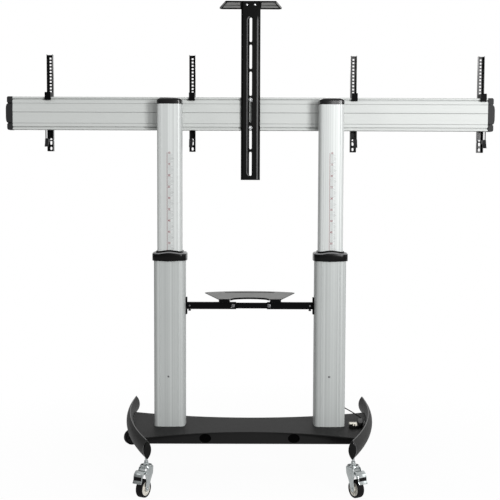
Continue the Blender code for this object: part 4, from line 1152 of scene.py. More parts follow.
    def grommets(self) -> None:
        """Make the edge rings of the two cable holes, with slit near-black leaves across them: painted shade
        for the dark seen through the holes.
        """
        low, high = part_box("base_crossbeam")
        level = 0.5 * (low[2] + high[2])
        outer = self.hole_size[0] / 2
        profile = ((outer + 0.0022, -0.0004), (outer + 0.0016, -0.0014), (outer - 0.0010, -0.0016),
                   (outer - 0.0024, -0.0006), (outer - 0.0026, 0.0050), (outer - 0.0006, 0.0050),
                   (outer - 0.0005, -0.0002), (outer + 0.0022, -0.0002))
        squeeze = Matrix.Diagonal((1.0, self.hole_size[1] / self.hole_size[0], 1.0, 1.0))
        for side in Side:
            spot = facing((side.value * self.hole_x, low[1], level), "+Y") @ squeeze
            ring = turned(profile, spot, 36, ring=True)
            # The leaves close the holes in near-black: painted shade for the dark seen through them.
            leaves, reach = 8, outer - 0.0012
            for i in range(leaves):
                turns = [2.0 * math.pi * (i + part) / leaves for part in (-0.05, 0.2, 0.5, 0.8, 1.05)]
                edge = [(reach * math.cos(turn), reach * math.sin(turn)) for turn in turns]
                depth = 0.0020 + 0.0009 * (i % 2)
                joined(ring, moved(slab([*edge, (0.0, 0.0)], depth, depth + 0.0008), spot))
            self.bench.put(side.label + "_hole_ring", ring, HOLE_RUBBER_AND_SHADE, "base", smooth=50.0)

    def build(self) -> None:
        """Make the base."""
        self.bench.skin("base_deck", DECK_PAINT, "base", 0.0009)
        self.bench.skin("base_crossbeam", BEAM_PAINT, "base", 0.0007)
        for side in Side:
            self.leg(side)
            self.crest(side)
        self.grommets()


@dataclass
class Column:
    """One telescoping column: lower tube, collar, upper tube, cap and height scale.

    Attributes:
        bench: Where its pieces go.
        side: Which column.
        x: Place of its middle.
        bulge: Bow of its faces.
        upper: Width, depth and corner radius of the upper tube.
        upper_wall: Wall of the upper tube.
        lower: Width, depth and corner radius of the lower tube.
        bore: Width, depth and corner radius of the lower tube's inside.
        seat: Clearance of fixed pieces.
        slide: Clearance of sliding pieces.
        slot: Opening, lip, cavity and depth of the side slots.
        groove: Half width and depth of the upper tube's corner lines.
        groove_x: Distance of the corner lines from the middle.
        flute_x: Distances of the lower tube's fine lines from the middle.
        scale_top: Height of the scale's first number.
        scale_step: Spacing of the scale's numbers.
        scale_count: How many numbers it has.
        scale_line: Left and right edge of the scale's long line, from the column's middle.
        digits: Height, thickness and added weight of the scale's digits.
        tick_start: Left end of the scale's ticks, from the column's middle.
        tick_ends: Right ends of the middle tick, the even ticks and the odd ticks.
        tick_width: Width of a tick.
        screw: Place of the face screw.
        collar_size: Heights of the collar's outside and of its skirt over the lower tube.
        arch: Rise of the collar's upper edge at its middle.
        sag: Drop of the collar's lower edge at its middle.
        draw_in: How far the cap's dome draws in on each side.
    """

    bench: Bench
    side: Side
    x: float
    screw: Flat
    bulge: float = 0.0022
    upper: Spot = (0.112, 0.103, 0.017)
    upper_wall: float = 0.0028
    lower: Spot = (0.142, 0.130, 0.025)
    bore: Spot = (0.116, 0.124, 0.021)
    seat: float = 0.0003
    slide: float = 0.0004
    slot: tuple[float, float, float, float] = (0.009, 0.0025, 0.017, 0.0065)
    groove: Flat = (0.0012, 0.0012)
    groove_x: float = 0.0366
    flute_x: tuple[float, ...] = (0.0425, 0.0380)
    scale_top: float = 1.4268
    scale_step: float = 0.050
    scale_count: int = 12
    scale_line: Flat = (-0.0097, -0.0083)
    digits: Spot = (0.0112, 0.00012, 0.00025)
    tick_start: float = -0.0075
    tick_ends: Spot = (0.021, 0.016, 0.010)
    tick_width: float = 0.0008
    collar_size: Flat = (0.034, 0.018)
    arch: float = 0.0052
    sag: float = 0.0020
    draw_in: float = 0.038

    def loop(self, bm: BMesh, size: Spot, bulge: float, level: float, grow: float = 0.0,
             face_cuts: Sequence[tuple[float, Sequence[Flat]]] = (),
             side_cuts: Sequence[tuple[float, Sequence[Flat]]] = ()) -> list[BMEdge]:
        """Draw the closed outline of a tube.

        Args:
            bm: Mesh that takes it.
            size: Width, depth and corner radius.
            bulge: Bow of the faces.
            level: Height of the outline.
            grow: How far it is let out.
            face_cuts: Cuts in the front and rear faces, as a middle and (run, depth) points.
            side_cuts: Cuts in the side faces.

        Returns:
            The outline's edges.
        """
        width, depth, corner = size[0] / 2 + grow, size[1] / 2 + grow, size[2] + grow
        draft = bmesh.new()
        verts, bends = [], []
        for turn, cuts in enumerate((face_cuts, side_cuts, face_cuts, side_cuts)):
            reach, span = (depth, width) if turn % 2 == 0 else (width, depth)
            local = [(bulge - span, bulge - reach)]
            for middle, points in cuts:
                local += [(middle + run, bulge - reach + inset) for run, inset in points]
            spin = Matrix.Rotation(turn * math.pi / 2, 3, "Z")
            corners = [draft.verts.new(spin @ Vector((a, b, level))) for a, b in local]
            bends.append(corners[0])
            verts += corners
        draft.faces.new(verts)
        round_off(draft, bends, corner - bulge, 7)
        step = 0.007
        for count in (3, 2):
            long_edges = [edge for edge in draft.edges if edge.calc_length() > step * count]
            bmesh.ops.subdivide_edges(draft, edges=long_edges, cuts=count)
        flat_x, flat_y = width - corner, depth - corner
        face_from, side_from = depth - bulge - 0.004, width - bulge - 0.0115
        for vert in draft.verts:
            if bulge > 0.0 and abs(vert.co.x) < flat_x and abs(vert.co.y) > face_from:
                vert.co.y += math.copysign(bulge * (1.0 - (vert.co.x / flat_x) ** 2), vert.co.y)
            elif bulge > 0.0 and abs(vert.co.y) < flat_y and abs(vert.co.x) > side_from:
                vert.co.x += math.copysign(bulge * (1.0 - (vert.co.y / flat_y) ** 2), vert.co.x)
        bmesh.ops.translate(draft, vec=(self.x, 0.0, 0.0), verts=draft.verts)
        ring = [bm.verts.new(loop.vert.co) for face in draft.faces for loop in face.loops]
        draft.free()
        return [bm.edges.new(pair) for pair in zip(ring, ring[1:] + ring[:1])]

    def tube(self, outer: Spot, bulge: float, inner: Spot, inner_bulge: float, low: float, high: float,
             face_cuts: Sequence = (), side_cuts: Sequence = ()) -> BMesh:
        """Draw out a hollow tube.

        Args:
            outer: Width, depth and corner radius outside.
            bulge: Bow of the outer faces.
            inner: Width, depth and corner radius inside.
            inner_bulge: Bow of the inner faces.
            low: Height of its lower end.
            high: Height of its upper end.
            face_cuts: Cuts in the front and rear faces.
            side_cuts: Cuts in the side faces.

        Returns:
            The tube.
        """
        bm = bmesh.new()
        edges = self.loop(bm, outer, bulge, low, face_cuts=face_cuts, side_cuts=side_cuts)
        edges += self.loop(bm, inner, inner_bulge, low)
        filled = bmesh.ops.triangle_fill(bm, edges=edges, use_beauty=True)["geom"]
        draw_out(bm, only(BMFace, filled), (0.0, 0.0, high - low))
        return bm

    def notch(self, half: float, depth: float) -> tuple[Flat, ...]:
        """Give a fine V-shaped line.

        Args:
            half: Half its width.
            depth: Its depth.

        Returns:
            Its points as (run, depth).
        """
        return (-half, 0.0), (0.0, depth), (half, 0.0)

    def lower_tube(self) -> None:
        """Make the lower tube with its side slots and fine corner lines."""
        opening, lip, cavity, depth = self.slot
        half, wide = opening / 2, cavity / 2
        tee = ((-half, 0.0), (-half, lip), (-wide, lip), (-wide, lip + depth), (wide, lip + depth),
               (wide, lip), (half, lip), (half, 0.0))
        flutes = sorted(way * x for x in self.flute_x for way in (-1, 1))
        lines = [(x, self.notch(0.0008, 0.0009)) for x in flutes]
        name = self.side.label + "_lower_column"
        low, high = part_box(name)
        bm = self.tube(self.lower, self.bulge, self.bore, 0.0, low[2], high[2], lines, ((0.0, tee),))
        # The lower tube takes the darker copy of the aluminium, painted shade.
        self.bench.put(name + "_tube", bm, SHADED_LOWER_METAL, "base", (name,), smooth=34.0)

    def upper_tube(self) -> None:
        """Make the upper tube with its corner lines."""
        lines = [(x, self.notch(*self.groove)) for x in (-self.groove_x, self.groove_x)]
        wall = self.upper_wall
        inner = (self.upper[0] - 2 * wall, self.upper[1] - 2 * wall, self.upper[2] - wall)
        name = self.side.label + "_upper_column"
        low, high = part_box(name)
        bm = self.tube(self.upper, self.bulge, inner, self.bulge, low[2], high[2], lines)
        self.bench.put(name + "_tube", bm, UPPER_METAL, "lift", (name,), smooth=34.0)

    def collar(self) -> None:
        """Make the collar with its guide sleeve inside the lower tube, and a painted highlight arc on its
        shoulder.
        """
        name = self.side.label + "_column_collar"
        low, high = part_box(name)
        rim = high[2] - 0.003
        bottom = rim - self.collar_size[0]
        seat = bottom + self.collar_size[1] + self.seat
        outside = ((self.seat, bottom), (0.0064, bottom), (0.0070, bottom + 0.0008), (0.0070, rim - 0.0050),
                   (0.0066, rim - 0.0038), (0.0024, rim + 0.0008), (0.0008, rim + 0.0014))
        neck = ((0.0068, rim + 0.0016), (0.0060, rim + 0.0064), (0.0048, rim + 0.0080),
                (self.slide + 0.0006, rim + 0.0080), (self.slide, rim + 0.0072), (self.slide, low[2]))
        sleeve = ((-self.seat, low[2]), (-self.seat, seat))
        rings = [(self.lower, self.bulge, *ring) for ring in outside]
        rings += [(self.upper, self.bulge, *ring) for ring in neck]
        rings += [(self.bore, 0.0, *ring) for ring in sleeve]
        rings.append((self.lower, self.bulge, self.seat, seat))
        bm = bmesh.new()
        loops = [self.loop(bm, size, bulge, level, grow) for size, bulge, grow, level in rings]
        for first, second in zip(loops, loops[1:] + loops[:1]):
            bmesh.ops.bridge_loops(bm, edges=first + second)
        # Faces of the sloped shoulder take the light grey: a painted highlight arc.
        for face in bm.faces:
            if rim - 0.0036 < face.calc_center_median().z < rim + 0.0006:
                face.material_index = 1
        flat = self.lower[0] / 2 - self.lower[2]
        for vert in bm.verts:
            crown = max(0.0, 1.0 - ((vert.co.x - self.x) / flat) ** 2) ** 1.5
            if vert.co.z > rim - 0.006:
                vert.co.z += self.arch * crown
            elif abs(vert.co.z - bottom) < 0.001:
                vert.co.z -= self.sag * crown
        ring = self.bench.put(name + "_ring", bm, COLLAR_PLASTIC, "base", (name,), smooth=42.0)
        ring.data.materials.append(COLLAR_HIGHLIGHT.material())

    def cap(self) -> None:
        """Make the domed cap of the upper tube."""
        name = self.side.label + "_column_cap"
        low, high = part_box(name)
        rise = high[2] - low[2]
        bm = bmesh.new()
        edges = self.loop(bm, self.upper, self.bulge, low[2], 0.001)
        faces = bmesh.ops.edgeloop_fill(bm, edges=edges)["faces"]
        bmesh.ops.inset_region(bm, faces=faces, thickness=0.0005, depth=0.0)
        straight, spring = 0.48, 0.52
        faces = draw_out(bm, list(bm.faces), (0.0, 0.0, straight * rise))
        past, size = straight, 1.0
        middle = Matrix.Translation((-self.x, 0.0, 0.0))
        for level in (spring, 0.60, 0.68, 0.76, 0.83, 0.89, 0.94, 0.975, 1.0):
            share = max(0.0, (level - spring) / (1.0 - spring))
            fall = 1.0 - math.sqrt(max(0.0, 1.0 - share * share))
            grown = 1.0 - 2.0 * self.draw_in * fall / self.upper[0]
            faces = draw_out(bm, faces, (0.0, 0.0, (level - past) * rise))
            bmesh.ops.scale(bm, vec=(grown / size, grown / size, 1.0), space=middle,
                            verts=list({vert for face in faces for vert in face.verts}))
            past, size = level, grown
        self.bench.put(name + "_dome", bm, CAP_PLASTIC, "lift", (name,), smooth=40.0)

    def face_y(self, offset: float) -> float:
        """Give the place of the upper tube's front face.

        Args:
            offset: Distance from the tube's middle.

        Returns:
            Its Y there.
        """
        flat = self.upper[0] / 2 - self.upper[2]
        return -self.upper[1] / 2 + self.bulge * (offset / flat) ** 2

    def mark(self, start: float, end: float, level: float, width: float) -> BMesh:
        """Print one stroke that follows the face's bow.

        Args:
            start: Left end, from the column's middle.
            end: Right end.
            level: Height of its middle.
            width: Height of the stroke.

        Returns:
            The stroke.
        """
        bm = block((start, -0.00012, level - width / 2), (end, 0.0002, level + width / 2))
        runs = [edge for edge in bm.edges if abs(edge.verts[0].co.x - edge.verts[1].co.x) > 1e-6]
        if end - start > 0.006:
            bmesh.ops.subdivide_edges(bm, edges=runs, cuts=4, use_grid_fill=True)
        for vert in bm.verts:
            vert.co.y += self.face_y(vert.co.x)
        bmesh.ops.translate(bm, vec=(self.x, 0.0, 0.0), verts=bm.verts)
        return bm

    def number(self, text: str, level: float) -> BMesh:
        """Print one number of the scale.

        Args:
            text: Its digits.
            level: Height of its middle.

        Returns:
            The digits.
        """
        data = bpy.data.curves.new("digits", "FONT")
        data.body = text
        data.align_x = "CENTER"
        data.align_y = "CENTER"
        data.size, data.extrude, data.offset = self.digits
        carrier = placed("digits", data)
        shown = carrier.evaluated_get(bpy.context.evaluated_depsgraph_get())
        mesh = bpy.data.meshes.new_from_object(shown)
        bpy.data.objects.remove(carrier, do_unlink=True)
        bpy.data.curves.remove(data)
        bm = bmesh.new()
        bm.from_mesh(mesh)
        bpy.data.meshes.remove(mesh)
        bmesh.ops.remove_doubles(bm, verts=bm.verts, dist=1e-7)
        return moved(bm, facing((self.x, self.face_y(0.0) - 0.00006, level), "-Y"))

    def scale(self) -> None:
        """Print the height scale on the upper tube's front face."""
        bottom = self.scale_top - (self.scale_count - 1) * self.scale_step - 0.002
        red = self.mark(*self.scale_line, 0.5 * (self.scale_top + bottom), self.scale_top - bottom + 0.002)
        grey = bmesh.new()
        for i in range(self.scale_count):
            level = self.scale_top - i * self.scale_step
            joined(red, self.number(str(10 + 5 * i), level))
            if i + 1 == self.scale_count:
                continue
            for tick in range(1, 10):
                end = self.tick_ends[0 if tick == 5 else 1 + tick % 2]
                height = level - tick * self.scale_step / 10
                joined(grey, self.mark(self.tick_start, end, height, self.tick_width))
        label = self.side.label
        self.bench.put(label + "_scale_numbers", red, RED_INK, "lift", smooth=30.0)
        self.bench.put(label + "_scale_ticks", grey, GREY_INK, "lift", smooth=30.0)

    def build(self) -> None:
        """Make the column."""
        self.lower_tube()
        self.collar()
        self.upper_tube()
        self.cap()
        self.scale()
        self.bench.dress(self.side.label + "_foot_glide", GLIDE_PLASTIC)
        spot = facing((self.screw[0], -self.lower[1] / 2, self.screw[1]))
        head = socket_screw(spot, 0.0046, 0.0022)
        self.bench.put(self.side.label + "_face_screw", head, SCREW_STEEL, "base")


@dataclass
class DisplayRail:
    """Rail across the columns, with its end caps, clamps and rear bolts.

    Attributes:
        bench: Where its pieces go.
        bolt_x: Distance of the rear bolts from a column's middle.
        bolt_z: Distance of the rear bolts from the rail's middle.
        groove: Depths between which the front face counts as a groove, whose faces take a darker painted
            shade.
        slit_z: Distance of the end caps' slits from the rail's middle.
        web_run: Start and stop of the webs in those slits, from the rail's end.
        web_half: Half the webs' height.
        web_inset: Distance of the webs from the rail's faces.
    """

    bench: Bench
    bolt_x: float = 0.022
    bolt_z: float = 0.030
    groove: Flat = (0.0003, 0.0030)
    slit_z: float = 0.0445
    web_run: Flat = (0.0045, 0.0225)
    web_half: float = 0.0030
    web_inset: float = 0.0015

    def core(self, side: Side, low: Sequence[float], high: Sequence[float]) -> None:
        """Make the dark webs that close the slits of an end cap.

        Args:
            side: Which end.
            low: Lowest corner of the rail.
            high: Highest corner of the rail.
        """
        end = high[0] if side is Side.RIGHT else low[0]
        middle = 0.5 * (low[2] + high[2])
        webs = bmesh.new()
        start, stop = sorted(end + side.value * run for run in self.web_run)
        for rise in (-1, 1):
            level = middle + rise * self.slit_z
            web = block((start, low[1] + self.web_inset, level - self.web_half),
                        (stop, high[1] - self.web_inset, level + self.web_half))
            joined(webs, ease(web, 0.0006, 2))
        self.bench.put(side.label + "_rail_cap_webs", webs, TIP_PLASTIC, "lift")

    def build(self) -> None:
        """Make the rail."""
        rail = self.bench.skin("display_rail", RAIL_METAL, "lift", 0.0004)
        low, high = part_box("display_rail")
        middle = 0.5 * (low[2] + high[2])
        # Groove faces take the darker material: painted shade inside the front grooves.
        rail.data.materials.append(GROOVE_SHADE_METAL.material())
        for face in rail.data.polygons:
            depth = face.center.y - low[1]
            if self.groove[0] < depth < self.groove[1] and abs(face.normal.x) < 0.5:
                face.material_index = 1
        for side in Side:
            self.bench.skin(side.label + "_rail_end_cap", CAP_GREY, "lift", 0.0014)
            self.core(side, low, high)
            self.bench.skin(side.label + "_rail_clamp", ZINC, "lift", 0.0008)
            start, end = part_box(side.label + "_upper_column")
            x = 0.5 * (start[0] + end[0])
            heads = bmesh.new()
            for way in (-1, 1):
                for rise in (-1, 1):
                    spot = (x + way * self.bolt_x, high[1], middle + rise * self.bolt_z)
                    sheet = 0.0012
                    washer = disc(facing(spot, "+Y"), 0.0085, -0.0003, sheet, 24)
                    head = hexagon(facing((spot[0], spot[1] + sheet, spot[2]), "+Y"), 0.0066, 0.0024)
                    joined(heads, washer, head)
            self.bench.put(side.label + "_rail_bolts", heads, ZINC, "lift")


@dataclass
class CameraMast:
    """Slotted mast on the rail, its shelf and its fasteners.

    Attributes:
        bench: Where its pieces go.
        rivet_x: Distance of the shelf's screws from the middle.
        rivet_z: Height of the shelf's screws.
        lip: Depth of the shelf's turned-down edge.
        sheet: Thickness of that edge.
        near_half: Half the shelf's width at its near edge.
        clip: Size of the shelf's clipped far corners.
        panel_runs: Start and end of the panels under the shelf, as shares of its depth.
        panel_taper: Margin of those panels at the shelf's far edge, and what is added at its near edge.
        pocket: Width of the mast's pressed pocket, and its distances from the top and the foot.
        fold: Width of the painted highlight along the pocket's pressed edge.
        strip: Distances of the painted highlight strip's left edge, tip and right edge from the mast's right
            edge.
    """

    bench: Bench
    rivet_x: float = 0.018
    rivet_z: float = 2.0895
    lip: float = 0.0045
    sheet: float = 0.0030
    near_half: float = 0.113
    clip: float = 0.012
    panel_runs: tuple[Flat, ...] = ((0.10, 0.46), (0.56, 0.90))
    panel_taper: Flat = (0.011, 0.031)
    pocket: Spot = (0.036, 0.064, 0.016)
    fold: float = 0.0040
    strip: Spot = (0.0158, 0.0124, 0.0092)

    def shelf_edge(self) -> BMesh:
        """Turn down the shelf's edge all round, except where the mast stands.

        Returns:
            The edge.
        """
        low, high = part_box("camera_shelf")
        near, far, wide = low[1], high[1], high[0]
        under = high[2] - self.sheet
        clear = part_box("camera_mast")[1][0] + 0.0015
        bm = bmesh.new()
        for way in (-1, 1):
            path = ((clear, near), (self.near_half, near), (wide, far - self.clip), (wide - self.clip, far),
                    (0.0, far))
            inner = ((clear, near + self.sheet), (self.near_half - 0.0022, near + self.sheet),
                     (wide - self.sheet, far - self.clip - 0.001),
                     (wide - self.clip - 0.001, far - self.sheet), (0.0, far - self.sheet))
            ring = [(way * a, b) for a, b in (*path, *reversed(inner))]
            joined(bm, slab(ring, under - self.lip, under + 0.0004))
        bmesh.ops.remove_doubles(bm, verts=bm.verts, dist=1e-6)
        return bm

    def panels(self) -> BMesh:
        """Make the raised panels under the shelf, two on each side of the mast with a slot between; their
        light grey is a painted reflection of the pale floor.

        Returns:
            The panels.
        """
        low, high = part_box("camera_shelf")
        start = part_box("camera_mast")[1][0] + 0.005
        under, depth = high[2] - self.sheet, high[1] - low[1]
        bm = bmesh.new()
        margin, added = self.panel_taper
        for first, last in self.panel_runs:
            near, far = low[1] + first * depth, low[1] + last * depth
            reach = [high[0] - margin - added * (1.0 - share) for share in (first, last)]
            for way in (-1, 1):
                plan = ((start, near), (reach[0], near), (reach[1], far), (start, far))
                joined(bm, slab([(way * x, y) for x, y in plan], under - 0.0012, under + 0.0004))
        return bm

    def fold_highlights(self) -> BMesh:
        """Draw painted highlights along the pressed edge of the pocket's left side and along the right fold.

        Returns:
            The highlight strips.
        """
        low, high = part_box("camera_mast")
        front, half = low[1], self.pocket[0] / 2
        top, bottom = high[2] - self.pocket[1] - half, low[2] + self.pocket[2] + half
        turns = [math.radians(angle) for angle in range(105, 181, 15)]
        arch = [(half * math.cos(turn), top + half * math.sin(turn)) for turn in turns]
        foot = [(half * math.cos(turn), bottom - half * math.sin(turn)) for turn in reversed(turns)]
        outside, inside = [*arch, *foot], []
        for x, z in outside:
            if z > top or z < bottom:
                inside.append((x * (1.0 - self.fold / half), z - math.copysign(self.fold, z - bottom)))
            else:
                inside.append((x + self.fold, z))
        line = slab([*outside, *reversed(inside)], front - 0.0004, front + 0.0012, Axis.Y)
        left, tip, right = (high[0] - edge for edge in self.strip)
        sill = low[2] + 0.003
        outline = ((left, sill), (right, sill), (right, top), (tip, top + 0.020), (left, top))
        strip = slab(outline, front - 0.0004, front + 0.0006, Axis.Y)
        return joined(ease(line, 0.0002, 1), ease(strip, 0.0002, 1))

    def bolts(self) -> None:
        """Make the two bolts that hold the mast, with their slot nuts."""
        for name in ("upper_mast_bolt", "lower_mast_bolt"):
            low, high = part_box(name)
            x, z = 0.5 * (low[0] + high[0]), 0.5 * (low[2] + high[2])
            seat, sheet = low[1] + 0.0055, 0.0013
            depth = high[1] - seat
            washer = disc(facing((x, seat, z)), 0.0075, -0.0002, sheet, 28)
            head = socket_screw(facing((x, seat - sheet, z)), 0.0058, 0.0042)
            shank = turned(((0.0, 0.0), (0.0030, 0.0), (0.0030, 0.021), (0.0057, 0.0245), (0.0057, depth),
                            (0.0, depth)), facing((x, seat, z), "+Y"), 20)
            self.bench.put(name + "_head", joined(washer, head, shank), ZINC, "lift", (name,))

    def build(self) -> None:
        """Make the mast."""
        self.bench.skin("camera_mast", MAST_PAINT, "mast", 0.0006)
        self.bench.put("camera_mast_fold_highlights", self.fold_highlights(), MAST_HIGHLIGHT, "mast")
        self.bench.skin("camera_shelf", CAMERA_PAINT, "mast", 0.0006)
        self.bench.put("camera_shelf_panels", self.panels(), PANEL_REFLECTION, "mast", edge=0.0004)
        self.bench.put("camera_shelf_edge", self.shelf_edge(), MAST_PAINT, "mast", edge=0.0006)
        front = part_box("camera_mast")[0][1]
        heads = bmesh.new()
        for way in (-1, 1):
            joined(heads, socket_screw(facing((way * self.rivet_x, front, self.rivet_z)), 0.0046, 0.0022))
        self.bench.put("camera_shelf_screws", heads, ZINC, "mast")
        self.bolts()


@dataclass
class DisplayArm:
    """One hook-on display arm with its latch.

    Attributes:
        bench: Where its pieces go.
        index: Number of the arm, from the left.
        dull_reach: How far from the rail's top the hook's paint is duller.
        pin: Y and height of the latch's pin.
    """

    bench: Bench
    index: int
    dull_reach: float = 0.035
    pin: Flat = (0.116, 1.4855)

    def build(self) -> None:
        """Make the arm, its hook's paint duller where the rail rubs it."""
        arm, latch = f"display_arm_{self.index}", f"arm_latch_{self.index}"
        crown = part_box("display_rail")[1][2]
        shell = self.bench.trace(arm)
        for face in shell.faces:
            if all(abs(vert.co.z - crown) < self.dull_reach for vert in face.verts):
                face.material_index = 1
        piece = self.bench.put(arm + "_skin", shell, ARM_PAINT, f"arm_{self.index}", (arm,), 0.0004)
        piece.data.materials.append(HOOK_PAINT.material())
        self.bench.skin(latch, LATCH_PLASTIC, f"latch_{self.index}", 0.0006)
        low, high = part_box(arm)
        heads = bmesh.new()
        for x, axis in ((low[0] + 0.001, "-X"), (high[0] - 0.001, "+X")):
            joined(heads, turned(((0.0, -0.0002), (0.0045, -0.0002), (0.0043, 0.0009), (0.0030, 0.0014),
                                  (0.0, 0.0016)), facing((x, *self.pin), axis), 20))
        self.bench.put(f"latch_pin_heads_{self.index}", heads, ZINC, f"arm_{self.index}")


@dataclass
class EquipmentShelf:
    """Shelf on telescoping bars between the columns.

    Attributes:
        bench: Where its pieces go.
        end_x: Places of the bars' end bolts.
        lap_x: Places of the wing bolts where the bars lap.
        lap_turn: How far those bolts' wings are turned.
        level: Height of the bars' middle.
        front: Y of the bars' front face.
        half: Half the bars' height.
        slot: Length, width and Y of the shelf's strap slot.
        arch: Half width, depth and near Y of the shelf's arched front edge.
    """

    bench: Bench
    end_x: Flat = (-0.272, 0.271)
    lap_x: Flat = (-0.0763, 0.0860)
    lap_turn: Flat = (0.7, -0.9)
    level: float = 0.7425
    front: float = -0.010
    half: float = 0.0155
    slot: Spot = (0.236, 0.018, 0.250)
    arch: Spot = (0.088, 0.062, -0.020)

    def wing_bolt(self, x: float, turn: float) -> BMesh:
        """Make a wing bolt on the bars' front.

        Args:
            x: Its place.
            turn: How far its wings are turned.

        Returns:
            The bolt.
        """
        hub = turned(((0.0, -0.0003), (0.0078, -0.0003), (0.0078, 0.0012), (0.0052, 0.0016), (0.0048, 0.0060),
                      (0.0036, 0.0072), (0.0, 0.0074)), Matrix(), 24)
        for way in (0.0, math.pi):
            wing = slab(((0.0030, 0.0012), (0.0100, 0.0030), (0.0125, 0.0070), (0.0112, 0.0098),
                         (0.0078, 0.0092), (0.0030, 0.0062)), -0.0012, 0.0012, Axis.Y, 0.0012)
            joined(hub, moved(ease(wing, 0.0004, 2), Matrix.Rotation(way, 4, "Z")))
        return moved(hub, facing((x, self.front, self.level)) @ Matrix.Rotation(turn, 4, "Z"))

    def slot_trim(self) -> BMesh:
        """Make the rubber edging of the shelf's strap slot.

        Returns:
            The edging.
        """
        length, width, y = self.slot
        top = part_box("av_shelf")[1][2]
        loops = []
        for grow, rise in ((0.0, -0.0030), (0.0, 0.0006), (0.0008, 0.0010), (0.0018, 0.0006), (0.0018, 0.0)):
            half, reach = width / 2 - 0.0004 + grow, length / 2 - width / 2
            ring = []
            for way in (1, -1):
                for i in range(9):
                    turn = math.radians(-90.0 + 22.5 * i)
                    x, run = reach + half * math.cos(turn), half * math.sin(turn)
                    ring.append((way * x, y + way * run, top + rise))
            loops.append(ring)
        bm = bmesh.new()
        rows = [[bm.verts.new(point) for point in ring] for ring in loops]
        edges = [[bm.edges.new((row[i - 1], row[i])) for i in range(len(row))] for row in rows]
        for first, second in zip(edges, edges[1:] + edges[:1]):
            bmesh.ops.bridge_loops(bm, edges=first + second)
        return bm

    def edging(self) -> BMesh:
        """Make the dark strip along the shelf's arched front edge: its turned-down lip, partly the shelf's
        dark paint, partly painted shade.

        Returns:
            The strip.
        """
        span, depth, near = self.arch
        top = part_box("av_shelf")[1][2]
        shares = [i / 6 - 1.0 for i in range(13)]
        curve = [(span * share, near + depth * math.sqrt(1.0 - share ** 2)) for share in shares]
        plan = [(x, y - 0.0014) for x, y in curve] + [(x, y + 0.0022) for x, y in reversed(curve)]
        return slab(plan, top - 0.0072, top + 0.0006)

    def build(self) -> None:
        """Make the shelf."""
        for name in ("av_bar_left", "av_bar_middle", "av_bar_right", "left_av_bracket", "right_av_bracket"):
            self.bench.skin(name, BAR_PAINT, "equipment_shelf", 0.0005)
        sheet = self.bench.trace("av_shelf")
        bmesh.ops.recalc_face_normals(sheet, faces=sheet.faces)
        # Broad faces keep the lighter tone with its painted sheen; the steep sides take the plain dark paint.
        for face in sheet.faces:
            if abs(face.normal.z) < 0.6:
                face.material_index = 1
        tray = self.bench.put("av_shelf_skin", sheet, SHELF_PAINT_AND_SHEEN, "equipment_shelf", ("av_shelf",), 0.0006)
        tray.data.materials.append(BAR_PAINT.material())
        self.bench.put("av_shelf_lip_and_shade", self.edging(), BAR_PAINT, "equipment_shelf", edge=0.0004)
        self.bench.put("av_shelf_slot_trim", self.slot_trim(), CAP_GREY, "equipment_shelf", smooth=50.0)
        heads = bmesh.new()
        knobs = bmesh.new()
        for x in self.end_x:
            joined(heads, socket_screw(facing((x, self.front, self.level)), 0.0048, 0.0026))
            under = facing((x, 0.0, self.level - self.half), "-Z")
            joined(knobs, turned(((0.0, -0.0003), (0.0035, -0.0003), (0.0035, 0.0020), (0.0060, 0.0028),
                                  (0.0062, 0.0070), (0.0050, 0.0082), (0.0, 0.0085)), under, 20))
        for x, turn in zip(self.lap_x, self.lap_turn):
            joined(heads, self.wing_bolt(x, turn))
        self.bench.put("av_bolt_heads", heads, SCREW_STEEL, "equipment_shelf")
        self.bench.put("av_knobs", knobs, TIP_PLASTIC, "equipment_shelf", smooth=40.0)


